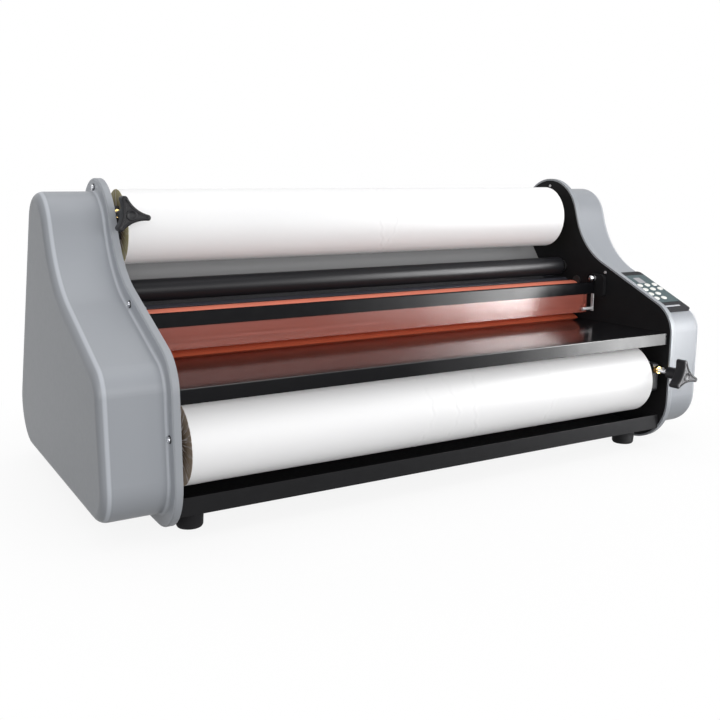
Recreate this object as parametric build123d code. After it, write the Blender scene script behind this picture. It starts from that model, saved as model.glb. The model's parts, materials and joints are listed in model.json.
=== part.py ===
from build123d import *
import os
from math import acos, cos, hypot, pi, radians, sin, tan

# Table-top roll laminator, in millimetres.
# +X is to the right of someone who feeds it, +Y is to the back, +Z is up.
# The feet stand on z = 0, x = 0 is midway between the covers, and y = 0 is midway between
# the face of the lower brake knob and the rear edge of the covers.

# Film, which sets the width of the machine
FILM_WIDTH = 685.8
FILM_LEFT_GAP = 14.0
FILM_RIGHT_GAP = 22.2
UPPER_FILM_RADIUS = 45.9
LOWER_FILM_RADIUS = 48.5
CORE_BORE_RADIUS = 12.7
CORE_WALL = 3.0
CORE_OVERHANG = 1.0
UPPER_SUPPLY = (40.3, 324.3)
LOWER_SUPPLY = (-152.6, 98.3)

# Side plates and the covers outside them
PLATE_THICK = 4.0
PLATE_FRONT = -207.0
PLATE_REAR = 248.5
PLATE_BOTTOM = 8.0
SLOPE_START_Z = 194.3
SLOPE_ANGLE = 24.0
SLOPE_LENGTH = 201.0
NECK_ANGLE = 72.0
NECK_LENGTH = 209.3
REAR_CORNER_Z = 91.8
CORNER_FRONT_BOTTOM = 62.0
CORNER_FRONT_TOP = 45.0
CORNER_NECK = 108.5
CORNER_HEAD = 62.0
CORNER_REAR_BOTTOM = 66.0
REAR_STRAIGHT = 0.5
FLANGE_THICK = 5.0
FLANGE_LIP = 3.0
LIP_GAP = 0.3
FLANGE_WIDTH = 16.0
FLANGE_ROUND = 2.5
COVER_REACH = 76.5
COVER_WALL = 3.0
COVER_ROUND = 12.0
CREASE_ROUND = 4.0

# Cover screws, by their share of the way round a line inside the plate's edge
SCREW_INSET = 8.0
SCREW_PLACES = (0.1, 0.254, 0.402, 0.483, 0.57, 0.68, 0.765, 0.87, 0.97)
SCREW_SHANK_RADIUS = 2.0
SCREW_HEAD_RADIUS = 4.4
SCREW_HEAD_HEIGHT = 2.4
WASHER_THICK = 0.6
SPOT_FACE_GAP = 0.3
SCREW_TIP = 1.5

# Base pan, feet and tie bars
FOOT_HEIGHT = 27.0
FOOT_RADIUS = 16.3
FOOT_SIDE_GAP = 25.0
FOOT_FRONT_Y = -153.0
FOOT_REAR_Y = 150.0
SHEET = 1.5
PAN_FRONT = -194.6
PAN_WALL_TOP = 47.5
REAR_PANEL_GAP = 23.5
REAR_PANEL_KNEE_Z = 120.0
EXIT_SHELF_Z = 165.0
EXIT_SHELF_FRONT = 105.0
EXIT_SHELF_REAR = 205.0
TIE_BAR_RADIUS = 8.0
TIE_BARS = ((-50.0, 75.0), (118.0, 262.0))

# Rear hood
HOOD_SHELF_Z = 229.0
HOOD_SHELF_FRONT = 4.0
HOOD_SHELF_BEND = 57.0
HOOD_SLOPE_ANGLE = 53.0
HOOD_TOP_Z = 309.0
HOOD_REAR_ANGLE = 61.6
HOOD_REAR_Z = 189.0
HOOD_BEND = 3.0

# Gear train and rollers
GEAR_MODULE = 2.0
ROLLER_TEETH = 26
SMALL_TEETH = 14
PRESSURE_ANGLE = 20.0
BACKLASH = 0.3
GEAR_WIDTH = 10.0
GEAR_PLATE_GAP = 9.0
HEAT_Y = -10.0
NIP_Z = 174.5
NIP_GAP = 0.4
SLEEVE_THICK = 3.8
ROLLER_END_GAP = 4.0
JOURNAL_RADIUS = 8.0
HEATER_RADIUS = 4.5
HEATER_BORE_RADIUS = 5.2
HEAT_CORE_WALL = 6.0
RUNNING_FIT = 0.03
BEARING_RADIUS = 13.0
BEARING_FLANGE_RADIUS = 17.5
BEARING_FLANGE = 2.0
BEARING_STICK_OUT = 2.0
BOSS_PLACE = (-16.0, 226.0)
BOSS_RADIUS = 8.0

# Drive motor
MOTOR_RADIUS = 30.0
MOTOR_LENGTH = 46.0
MOTOR_PLATE = 3.0
MOTOR_PLATE_GAP = 2.0
MOTOR_SHAFT_RADIUS = 4.0
MOTOR_SHAFT_DEPTH = 20.0
MOTOR_STANDOFFS = ((-45.0, -35.5), (48.0, -35.5), (-45.0, 21.5), (48.0, 3.5))
STANDOFF_RADIUS = 4.0
IDLER_STUD_RADIUS = 5.0

# Heater holders
HOLDER_THICK = 2.0
HOLDER_GAP_LEFT = 10.0
HOLDER_GAP_RIGHT = 7.0
HOLDER_HALF_WIDTH = 10.0
HOLDER_ABOVE = 45.5
HOLDER_BELOW = 6.5
HOLDER_POST_ABOVE = 39.5
HOLDER_ARM_REACH = 10.0
HOLDER_ARM_END = 6.0
HOLDER_ARM_HALF = 8.0
HEATER_STICK_OUT = 4.0

# Film idlers and the plastic bushes
UPPER_IDLER = (18.0, 246.8)
LOWER_IDLER = (-80.0, 120.0)
IDLER_RADIUS = 14.0
IDLER_END_GAP = 9.0
IDLER_JOURNAL_RADIUS = 5.0
SUPPLY_BUSH_RADIUS = 10.5
SUPPLY_BUSH_FLANGE_RADIUS = 12.0
IDLER_BUSH_RADIUS = 7.0
IDLER_BUSH_FLANGE_RADIUS = 9.0

# Feed table
TABLE_DROP = 5.8
TABLE_THICK = 2.0
TABLE_FRONT = -204.6
TABLE_REAR = -30.0
TABLE_LIP = 16.6
TABLE_SIDE_GAP = 1.5
TABLE_REST_GAP = 0.2
RAIL_WIDTH = 10.0
RAIL_HEIGHT = 7.0
RAIL_FRONT = -190.0
RAIL_REAR = -60.0

# Heat shield
SHIELD_PIVOT = (-59.0, 234.0)
SHIELD_Y = -61.5
SHIELD_BAR_TOP = 227.1
SHIELD_BAR_BOTTOM = 210.6
SHIELD_BAR_FLANGE = 11.5
SHIELD_SIDE_GAP = 20.0
SHIELD_ARM_GAP = 8.0
SHIELD_ARM_THICK = 2.7
WINDOW_BOTTOM = 182.9
WINDOW_TOP = 222.0
WINDOW_THICK = 3.0
PIVOT_PLATE_THICK = 6.0
PIVOT_SHANK_RADIUS = 2.5
PIVOT_HEAD_RADIUS = 4.2
PIVOT_HEAD_LENGTH = 4.0
PIVOT_HEAD_ROUND = 3.2
PIVOT_SIDE_GAP = 0.3
PIVOT_PLATE_FRONT = 20.0
PIVOT_PLATE_REAR = 15.0
PIVOT_PLATE_BELOW = 27.0
PIVOT_PLATE_ABOVE = 6.0
STRIP_WIDTH = 4.7
STRIP_BOTTOM = 184.0
SHIELD_PIN_RADIUS = 2.25
SHIELD_PIN_Z = 188.0
SHIELD_PIN_LENGTH = 20.0

# Brakes on the supply shafts
STUD_RISE = 17.0
STUD_RADIUS = 3.0
BLOCK_BELOW = 15.0
BLOCK_ABOVE = 26.0
BLOCK_REAR = 19.0
BLOCK_ROUND = 5.0
BLOCK_SLOT = 2.0
UPPER_BLOCK_FRONT = 20.8
LOWER_BLOCK_FRONT = 42.4
UPPER_BLOCK_GAP = 3.0
LOWER_BLOCK_GAP = 6.0
UPPER_BLOCK_THICK = 9.0
LOWER_BLOCK_THICK = 10.0
BRASS_LENGTH = 6.0
SCREW_PITCH = 1.0
THREAD_DEPTH = 0.6
BRASS_FLATS = 10.0
UPPER_BARE_STUD = 25.5
LOWER_BARE_STUD = 17.0
HUB_RADIUS = 8.0
HUB_LENGTH = 17.5
LOBE_THICK = 16.0
LOBE_RADIUS = 23.0
LOBE_TIP_RADIUS = 3.5
LOBE_WAIST = 9.5
LOBE_ROUND = 2.5
UPPER_KNOB_TURN = 110.0
LOWER_KNOB_TURN = 100.0
STUD_IN_KNOB = 19.0

# Control panel on the slope of the right cover, by distances down the slope and along X
PANEL_Y = -114.8
BEZEL_THICK = 3.0
BEZEL_LEFT = 13.0
BEZEL_RIGHT = 69.0
BEZEL_UP = -44.0
BEZEL_DOWN = 70.0
BEZEL_ROUND = 6.0
KEYPAD_LEFT = 22.0
KEYPAD_RIGHT = 67.6
KEYPAD_UP = -33.0
KEYPAD_DOWN = 47.0
KEYPAD_THICK = 0.4
DISPLAY_MIDDLE = (43.3, -17.0)
DISPLAY_SIZE = (13.5, 16.0)
DISPLAY_MARGIN = 1.5
KEY_RADII = (5.0, 4.0)
KEY_FIT = 0.3
KEY_PROUD = 0.8
KEY_TRAVEL = 0.4
KEY_CAP = 3.0
KEY_STEM_RADIUS = 1.5
KEY_ROWS = ((-2.4, (31.0, 46.3, 61.7)), (10.0, (31.0, 46.3, 61.7)), (23.0, (30.0, 45.0)),
            (35.5, (30.0, 45.0)))
BOARD_DEPTH = 8.4
BOARD_THICK = 1.6
BOARD_LEFT = 20.0
BOARD_RIGHT = 63.0
BOARD_UP = -37.0
BOARD_DOWN = 51.0
SWITCH_HEIGHT = 1.0

# Power side
POWER_BOARD_Y = (-60.0, 90.0)
POWER_BOARD_Z = (60.0, 130.0)
POWER_BOARD_GAP = 8.0
POWER_BOARD_POST = 6.0
TRANSFORMER = ((15.0, 55.0), (15.0, 55.0), 36.0)
CAPACITOR = ((80.0, 30.0), 11.0, 25.0)
HEAT_SINK = ((105.0, 125.0), (20.0, 50.0), 18.0)
INLET_SIDE_GAP = 61.0
ROCKER_STEP = 50.0
REAR_FITTINGS_Z = 75.0
INLET_SIZE = (30.0, 24.0, 24.0)
INLET_WALLS = (6.0, 7.0)
INLET_FLOOR = 6.0
INLET_BLADES = ((-7.0, -2.0), (0.0, 2.0), (7.0, -2.0))
BLADE_SIZE = (2.0, 4.0)
BLADE_DEPTH = 3.0
FITTING_RIM = 6.0
FITTING_GAP = 0.1
ROCKER_CASE = (24.0, 22.0, 20.0)
ROCKER_FLOOR = 4.0
ROCKER_WINDOW = (20.0, 18.0)
ROCKER_GAP = 0.4
ROCKER_TILT = 12.0
ROCKER_SINK = 3.0
ROCKER_END_GAP = 1.5
ROCKER_TAPER = 3.0
ROCKER_BACK = 4.0
ROCKER_FRONT = 5.0
ROCKER_DISH = 1.2
ROCKER_DISH_RADIUS = 12.0

# Places along X and heights that follow from the sizes above
PLATE_GAP = FILM_LEFT_GAP + FILM_WIDTH + FILM_RIGHT_GAP
INNER = PLATE_GAP / 2
OUTER = INNER + PLATE_THICK
FLANGE_FACE = OUTER + FLANGE_THICK
COVER_FACE = OUTER + COVER_REACH
FILM_LEFT = -INNER + FILM_LEFT_GAP
FILM_RIGHT = INNER - FILM_RIGHT_GAP
GEAR_START = OUTER + GEAR_PLATE_GAP
GEAR_END = GEAR_START + GEAR_WIDTH
SHAFT_END = OUTER + BEARING_STICK_OUT
ROLLER_FACE = INNER - ROLLER_END_GAP
IDLER_FACE = INNER - IDLER_END_GAP
ROLLER_PITCH = GEAR_MODULE * ROLLER_TEETH
GEAR_STEP = GEAR_MODULE * (ROLLER_TEETH + SMALL_TEETH) / 2
ROLLER_RADIUS = (ROLLER_PITCH - NIP_GAP) / 2
PULL_Y = HEAT_Y + 2 * GEAR_STEP
LOWER_Z = NIP_Z - ROLLER_PITCH / 2
UPPER_Z = NIP_Z + ROLLER_PITCH / 2
LOWER_HEAT = (HEAT_Y, LOWER_Z)
UPPER_HEAT = (HEAT_Y, UPPER_Z)
LOWER_PULL = (PULL_Y, LOWER_Z)
UPPER_PULL = (PULL_Y, UPPER_Z)
IDLER_GEAR = (HEAT_Y + GEAR_STEP, LOWER_Z)
PINION = (HEAT_Y, LOWER_Z - GEAR_STEP)
TABLE_TOP = NIP_Z - TABLE_DROP
MOTOR_FACE = GEAR_END + MOTOR_PLATE_GAP + MOTOR_PLATE
REAR_PANEL_Y = PLATE_REAR - REAR_PANEL_GAP
UPPER_STUD = (UPPER_SUPPLY[0], UPPER_SUPPLY[1] + STUD_RISE)
LOWER_STUD = (LOWER_SUPPLY[0], LOWER_SUPPLY[1] + STUD_RISE)
UPPER_BRAKE_X = -(INNER - UPPER_BLOCK_GAP - UPPER_BLOCK_THICK / 2)
LOWER_BRAKE_X = INNER - LOWER_BLOCK_GAP - LOWER_BLOCK_THICK / 2
INLET_X = INNER - INLET_SIDE_GAP
ROCKER_X = INLET_X - ROCKER_STEP
ROCKER_PIVOT = (ROCKER_X, REAR_PANEL_Y - ROCKER_SINK, REAR_FITTINGS_Z)
SEAT = 0.02

nodes = {}


def add(name, *solids):
    """Keep the solids of one sub-part under its name."""
    nodes[name] = solids


def block(x, y, z):
    """Box between two places along each axis."""
    middle = Pos((x[0] + x[1]) / 2, (y[0] + y[1]) / 2, (z[0] + z[1]) / 2)
    return middle * Box(abs(x[1] - x[0]), abs(y[1] - y[0]), abs(z[1] - z[0]))


def along_x(face, start, end):
    """A (y, z) face drawn out along X."""
    return extrude(Plane.YZ.offset(start) * face, amount=end - start, dir=(1, 0, 0))


def rod(radius, place, start, end):
    """Round bar along X at a (y, z) place."""
    return along_x(Pos(*place) * Circle(radius), start, end)


def tube(radius, bore, place, start, end):
    """Round bar along X with a bore."""
    return along_x(Pos(*place) * (Circle(radius) - Circle(bore)), start, end)


def along_y(face, x, z, start, end):
    """An (x, z) face, drawn about its own middle, put at (x, z) and drawn out along Y."""
    return extrude(Plane.XZ.offset(-start) * Pos(x, z) * face, amount=end - start, dir=(0, 1, 0))


def both_sides(solid):
    """The solid and its mirror image on the other side of the machine."""
    return solid, mirror(solid, about=Plane.YZ)


def profile(corners):
    """Closed (y, z) face from corners of (y, z, radius)."""
    points = [(y, z) for y, z, _ in corners]
    return make_face(FilletPolyline(*points, radius=[r for _, _, r in corners], close=True))


def sheet(points, thickness, bend):
    """Sheet metal seen from its edge: the (y, z) points are its left side as it runs on."""
    offsets = []
    for i, (y, z) in enumerate(points):
        before = points[max(i - 1, 0)]
        after = points[min(i + 1, len(points) - 1)]
        turns = []
        for start, end in ((before, (y, z)), ((y, z), after)):
            length = hypot(end[0] - start[0], end[1] - start[1])
            if length:
                turns.append(((end[1] - start[1]) / length, (start[0] - end[0]) / length))
        ny = sum(turn[0] for turn in turns)
        nz = sum(turn[1] for turn in turns)
        scale = thickness * len(turns) / (ny * ny + nz * nz)
        offsets.append((y + ny * scale, z + nz * scale))
    return profile(bent(points, offsets, thickness, bend))


def bent(left, right, thickness, bend):
    """Corners of a sheet's edge from its two sides, with the outer side's bends wider."""
    corners = []
    for i, (y, z) in enumerate(left):
        corners.append((y, z, side_radius(left, i, thickness, bend, 1)))
    for i in reversed(range(len(right))):
        corners.append((*right[i], side_radius(left, i, thickness, bend, -1)))
    return corners


def side_radius(points, i, thickness, bend, side):
    """Radius of bend i on the left side (1) or the right side (-1) of a sheet, none at its ends."""
    if i in (0, len(points) - 1):
        return 0
    (y0, z0), (y1, z1), (y2, z2) = points[i - 1:i + 2]
    left_turn = (y1 - y0) * (z2 - z1) - (z1 - z0) * (y2 - y1) > 0
    inside = left_turn == (side > 0)
    return bend if inside else bend + thickness


def outline_corners():
    """Corners of the side plate, from the front bottom one and clockwise seen from the right."""
    slope_end = (PLATE_FRONT + SLOPE_LENGTH * cos(radians(SLOPE_ANGLE)),
                 SLOPE_START_Z + SLOPE_LENGTH * sin(radians(SLOPE_ANGLE)))
    head = (slope_end[0] + NECK_LENGTH * cos(radians(NECK_ANGLE)),
            slope_end[1] + NECK_LENGTH * sin(radians(NECK_ANGLE)))
    back = direction(head, (PLATE_REAR, REAR_CORNER_Z))
    rear_room = REAR_CORNER_Z - PLATE_BOTTOM - CORNER_REAR_BOTTOM - REAR_STRAIGHT
    corner_rear_top = rear_room / tan(acos(-back[1]) / 2)
    return [
        (PLATE_FRONT, PLATE_BOTTOM, CORNER_FRONT_BOTTOM),
        (PLATE_FRONT, SLOPE_START_Z, CORNER_FRONT_TOP),
        (*slope_end, CORNER_NECK),
        (*head, CORNER_HEAD),
        (PLATE_REAR, REAR_CORNER_Z, corner_rear_top),
        (PLATE_REAR, PLATE_BOTTOM, CORNER_REAR_BOTTOM),
    ]


def outline(out=0.0):
    """Face with the side plate's outline moved out by a distance, or in where it is negative."""
    corners = outline_corners()
    moved = []
    for i, (y, z, radius) in enumerate(corners):
        before, after = corners[i - 1], corners[(i + 1) % len(corners)]
        first, second = direction(before, (y, z)), direction((y, z), after)
        cosine = first[0] * second[0] + first[1] * second[1]
        hollow = first[0] * second[1] - first[1] * second[0] > 0
        reach = out / (1 + cosine)
        moved.append((y - (first[1] + second[1]) * reach, z + (first[0] + second[0]) * reach,
                      radius - out if hollow else radius + out))
    return profile(moved)


def direction(start, end):
    """Unit vector from one point to another."""
    length = hypot(end[0] - start[0], end[1] - start[1])
    return (end[0] - start[0]) / length, (end[1] - start[1]) / length


def screw_places():
    """The (y, z) places of the cover screws, on a line inside the plate's edge."""
    line = outline(-SCREW_INSET).faces()[0].outer_wire()
    return [(point.X, point.Y) for point in (line.position_at(share) for share in SCREW_PLACES)]


SCREWS = screw_places()
SUPPLY_SHAFTS = (UPPER_SUPPLY, LOWER_SUPPLY)
IDLERS = (UPPER_IDLER, LOWER_IDLER)
ROLLERS = (LOWER_HEAT, UPPER_HEAT, LOWER_PULL, UPPER_PULL)


def side_plates():
    """Flat plates with the rails of the feed table, and the holes for bearings and screws."""
    face = outline()
    for place in ROLLERS:
        face -= Pos(*place) * Circle(BEARING_RADIUS)
    for place in SUPPLY_SHAFTS:
        face -= Pos(*place) * Circle(SUPPLY_BUSH_RADIUS)
    for place in IDLERS:
        face -= Pos(*place) * Circle(IDLER_BUSH_RADIUS)
    for place in SCREWS:
        face -= Pos(*place) * Circle(SCREW_SHANK_RADIUS)
    top = TABLE_TOP - TABLE_THICK - TABLE_REST_GAP
    rail = block((INNER - RAIL_WIDTH, INNER), (RAIL_FRONT, RAIL_REAR), (top - RAIL_HEIGHT, top))
    right, left = both_sides(along_x(face, INNER, OUTER) + rail)
    add("right_side_plate", right)
    add("left_side_plate", left + idler_stud())


def cover_box(inset, reach, rounding):
    """The cover's box or its cavity: the outline drawn out, with its outer edge rounded."""
    face = outline(FLANGE_LIP - FLANGE_WIDTH - inset)
    box = along_x(face, OUTER, reach)
    rim = box.faces().sort_by(Axis.X)[-1].edges()
    return fillet(rim, rounding)


def cover():
    """Right cover: a flange with a lip round the plate's edge, and a hollow box that stands out."""
    flange = along_x(outline(FLANGE_LIP), OUTER, FLANGE_FACE)
    flange = fillet(flange.faces().sort_by(Axis.X)[-1].edges(), FLANGE_ROUND)
    flange += along_x(outline(FLANGE_LIP) - outline(LIP_GAP), INNER, OUTER)
    shell = flange + cover_box(0, COVER_FACE, COVER_ROUND)
    crease = [edge for edge in shell.edges() if on_crease(edge)]
    shell = fillet(crease, CREASE_ROUND)
    shell -= cover_box(COVER_WALL, COVER_FACE - COVER_WALL, COVER_ROUND - COVER_WALL)
    for place in SCREWS:
        shell -= rod(SCREW_SHANK_RADIUS, place, OUTER, FLANGE_FACE)
        shell -= rod(SCREW_HEAD_RADIUS + SPOT_FACE_GAP, place, FLANGE_FACE, COVER_FACE - COVER_ROUND)
    return shell


def on_crease(edge):
    """Whether an edge lies in the corner between the flange's face and the box."""
    box = edge.bounding_box()
    flat = abs(box.min.X - FLANGE_FACE) < 0.01 and abs(box.max.X - FLANGE_FACE) < 0.01
    face = outline(FLANGE_LIP - FLANGE_WIDTH / 2).faces()[0]
    middle = edge.position_at(0.5)
    return flat and face.is_inside(Vector(middle.Y, middle.Z, 0))


# The panel's frame: local x is X from the plate's outer face, local y is up the slope and
# local z stands out of the cover's surface.
def panel_plane():
    """Plane on the right cover's slope, at PANEL_Y."""
    angle = radians(SLOPE_ANGLE)
    depth = FLANGE_WIDTH - FLANGE_LIP
    z = SLOPE_START_Z + (PANEL_Y - PLATE_FRONT) * tan(angle) - depth / cos(angle)
    return Plane(origin=(OUTER, PANEL_Y, z), x_dir=(1, 0, 0), z_dir=(0, -sin(angle), cos(angle)))


PANEL = panel_plane()


def on_panel(face, start, end):
    """A face drawn in the panel's frame, from one height over the cover's surface to another."""
    return extrude(PANEL * Pos(0, 0, start) * face, amount=end - start, dir=PANEL.z_dir)


def panel_rectangle(left, right, up, down):
    """Rectangle in the panel's frame."""
    return Pos((left + right) / 2, -(up + down) / 2) * Rectangle(right - left, down - up)


def key_places():
    """Places of the keys in the panel's frame."""
    return [(x, -down) for down, row in KEY_ROWS for x in row]


KEYS = key_places()


def covers():
    """Both covers; the right one is open under the control panel."""
    right, left = both_sides(cover())
    margin = 1.0
    hole = panel_rectangle(BOARD_LEFT - margin, BOARD_RIGHT + margin, BOARD_UP - margin,
                           BOARD_DOWN + margin)
    right -= on_panel(hole, -2 * COVER_WALL, COVER_WALL)
    add("right_cover", right)
    add("left_cover", left)


def cover_screws():
    """Pan head screws with their washers, through the flange and the plate."""
    screws = []
    under_head = FLANGE_FACE + WASHER_THICK
    for place in SCREWS:
        head = rod(SCREW_HEAD_RADIUS - WASHER_THICK, place, under_head, under_head + SCREW_HEAD_HEIGHT)
        head = fillet(head.faces().sort_by(Axis.X)[-1].edges(), SCREW_HEAD_HEIGHT * 0.7)
        shank = rod(SCREW_SHANK_RADIUS - SEAT, place, INNER - SCREW_TIP, under_head)
        washer = tube(SCREW_HEAD_RADIUS, SCREW_SHANK_RADIUS, place, FLANGE_FACE, under_head)
        screws += both_sides(head + shank)
        screws += both_sides(washer)
    add("cover_screws", *screws)


def base():
    """Base pan between the plates, with a wall all round, and the four feet under it."""
    floor = (FOOT_HEIGHT, FOOT_HEIGHT + SHEET)
    pan = block((-INNER, INNER), (PAN_FRONT, REAR_PANEL_Y), (FOOT_HEIGHT, PAN_WALL_TOP))
    pan -= block((-INNER + SHEET, INNER - SHEET), (PAN_FRONT + SHEET, REAR_PANEL_Y - SHEET),
                 (floor[1], PAN_WALL_TOP))
    add("base_pan", pan)
    feet = []
    for y in (FOOT_FRONT_Y, FOOT_REAR_Y):
        foot = Pos(INNER - FOOT_SIDE_GAP, y, FOOT_HEIGHT / 2) * Cylinder(FOOT_RADIUS, FOOT_HEIGHT)
        foot = chamfer(foot.faces().sort_by(Axis.Z)[0].edges(), 2.0)
        feet += both_sides(foot)
    add("feet", *feet)
    add("tie_bars", *[rod(TIE_BAR_RADIUS, place, -INNER, INNER) for place in TIE_BARS])


def hood():
    """Grey sheet behind the upper roll: a shelf under the idler, a slope and a back."""
    slope = tan(radians(HOOD_SLOPE_ANGLE))
    top_y = HOOD_SHELF_BEND + (HOOD_TOP_Z - HOOD_SHELF_Z) / slope
    rear_y = top_y + (HOOD_TOP_Z - HOOD_REAR_Z) / tan(radians(HOOD_REAR_ANGLE))
    front_drop = 3.0
    points = [
        (HOOD_SHELF_FRONT, HOOD_SHELF_Z - front_drop),
        (HOOD_SHELF_FRONT + 2 * front_drop, HOOD_SHELF_Z),
        (HOOD_SHELF_BEND, HOOD_SHELF_Z),
        (top_y, HOOD_TOP_Z),
        (rear_y, HOOD_REAR_Z),
    ]
    add("rear_hood", along_x(sheet(points, SHEET, HOOD_BEND), -INNER, INNER))


def rear_panel():
    """Black sheet at the back with the exit shelf, open for the inlet and the rocker's case."""
    points = [
        (EXIT_SHELF_FRONT, EXIT_SHELF_Z),
        (EXIT_SHELF_REAR, EXIT_SHELF_Z),
        (REAR_PANEL_Y, REAR_PANEL_KNEE_Z),
        (REAR_PANEL_Y, FOOT_HEIGHT + SHEET),
    ]
    panel = along_x(sheet(points[::-1], SHEET, HOOD_BEND), -INNER, INNER)
    for x, size in ((INLET_X, INLET_SIZE), (ROCKER_X, ROCKER_CASE)):
        panel -= along_y(Rectangle(size[0], size[1]), x, REAR_FITTINGS_Z, REAR_PANEL_Y - SHEET,
                         REAR_PANEL_Y + 2 * SHEET)
    add("rear_panel", panel)


def roller_bearings():
    """Flanged bearings of the four rollers in both plates."""
    bearings = []
    for place in ROLLERS:
        bush = tube(BEARING_RADIUS - SEAT, JOURNAL_RADIUS + RUNNING_FIT, place, INNER, SHAFT_END)
        bush += tube(BEARING_FLANGE_RADIUS, JOURNAL_RADIUS + RUNNING_FIT, place,
                     INNER - BEARING_FLANGE, INNER)
        bearings += both_sides(bush)
    return bearings


def nylon_bushes():
    """Plastic bushes of the supply shafts and the film idlers."""
    sizes = (
        (SUPPLY_SHAFTS, SUPPLY_BUSH_RADIUS, SUPPLY_BUSH_FLANGE_RADIUS, JOURNAL_RADIUS),
        (IDLERS, IDLER_BUSH_RADIUS, IDLER_BUSH_FLANGE_RADIUS, IDLER_JOURNAL_RADIUS),
    )
    bushes = []
    for places, radius, flange, journal in sizes:
        for place in places:
            bush = tube(radius - SEAT, journal + RUNNING_FIT, place, INNER, SHAFT_END)
            bush += tube(flange, journal + RUNNING_FIT, place, INNER - BEARING_FLANGE, INNER)
            bushes += both_sides(bush)
    return bushes


def shaft_bearings():
    """Every bearing and bush in the side plates, and the discs over the nip springs."""
    bosses = both_sides(rod(BOSS_RADIUS, BOSS_PLACE, INNER - BEARING_FLANGE, INNER))
    add("shaft_bearings", *roller_bearings(), *nylon_bushes(), *bosses)


def heat_roller(name, place):
    """Hollow steel core with journals, and the silicone sleeve over it."""
    core_radius = ROLLER_RADIUS - SLEEVE_THICK
    core = tube(core_radius, core_radius - HEAT_CORE_WALL, place, -ROLLER_FACE, ROLLER_FACE)
    cap = 8.0
    for start, end in ((-ROLLER_FACE, -ROLLER_FACE + cap), (ROLLER_FACE - cap, ROLLER_FACE)):
        core += tube(core_radius, HEATER_BORE_RADIUS, place, start, end)
    core += tube(JOURNAL_RADIUS, HEATER_BORE_RADIUS, place, -GEAR_END - 2, -ROLLER_FACE)
    core += tube(JOURNAL_RADIUS, HEATER_BORE_RADIUS, place, ROLLER_FACE, SHAFT_END)
    add(name + "_core", core)
    add(name + "_sleeve", tube(ROLLER_RADIUS, core_radius + SEAT, place, -ROLLER_FACE, ROLLER_FACE))


def pull_roller(name, place):
    """Rubber-covered roller with its journals."""
    body = rod(ROLLER_RADIUS, place, -ROLLER_FACE, ROLLER_FACE)
    body += rod(JOURNAL_RADIUS, place, -GEAR_END - 2, SHAFT_END)
    add(name + "_roller", body)


def involute(angle):
    """How far the flank has turned where the radius makes this angle with the base circle."""
    return tan(angle) - angle


def gear_face(teeth, turn, place):
    """Spur gear seen from its side, with the first tooth turned by so many half pitches."""
    pitch_radius = GEAR_MODULE * teeth / 2
    base_radius = pitch_radius * cos(radians(PRESSURE_ANGLE))
    root_radius = pitch_radius - 1.25 * GEAR_MODULE
    tip_radius = pitch_radius + 0.9 * GEAR_MODULE
    half_tooth = (pi / 2 - BACKLASH / GEAR_MODULE) / teeth + involute(radians(PRESSURE_ANGLE))
    flank = []
    steps = 4
    for i in range(steps + 1):
        radius = base_radius + (tip_radius - base_radius) * i / steps
        flank.append((radius, half_tooth - involute(acos(base_radius / radius))))
    flank.insert(0, (min(root_radius, base_radius - 0.1), flank[0][1]))
    points = []
    for tooth in range(teeth):
        middle = 2 * pi * (tooth + turn / 2) / teeth
        side = [(radius, middle - angle) for radius, angle in flank]
        side += [(radius, middle + angle) for radius, angle in reversed(flank)]
        points += [(place[0] + r * cos(a), place[1] + r * sin(a)) for r, a in side]
    return make_face(Polyline(*points, close=True))


def gear(teeth, turn, place, bore):
    """Spur gear on the left, outside the plate."""
    face = gear_face(teeth, turn, place)
    if bore:
        face -= Pos(*place) * Circle(bore)
    return along_x(face, -GEAR_END, -GEAR_START)


def gear_train():
    """Roller gears, the idler gear on its stud and the motor's pinion with its shaft."""
    bore = JOURNAL_RADIUS + SEAT
    add("lower_heat_gear", gear(ROLLER_TEETH, 0, LOWER_HEAT, bore))
    add("upper_heat_gear", gear(ROLLER_TEETH, 1, UPPER_HEAT, bore))
    add("lower_pull_gear", gear(ROLLER_TEETH, 0, LOWER_PULL, bore))
    add("upper_pull_gear", gear(ROLLER_TEETH, 1, UPPER_PULL, bore))
    add("idler_gear", gear(SMALL_TEETH, 1, IDLER_GEAR, IDLER_STUD_RADIUS + RUNNING_FIT))
    pinion = gear(SMALL_TEETH, 1, PINION, 0)
    pinion += rod(MOTOR_SHAFT_RADIUS, PINION, -MOTOR_FACE - MOTOR_SHAFT_DEPTH, -GEAR_START)
    add("motor_pinion", pinion)


def idler_stud():
    """Stud of the idler gear, with the collar behind the gear and the head over it."""
    stud = rod(IDLER_STUD_RADIUS, IDLER_GEAR, -GEAR_END - 2.5, -OUTER)
    stud += rod(IDLER_STUD_RADIUS + 2, IDLER_GEAR, -GEAR_START + 0.5, -OUTER)
    stud += rod(IDLER_STUD_RADIUS + 2, IDLER_GEAR, -GEAR_END - 2.5, -GEAR_END - 0.5)
    return stud


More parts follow.
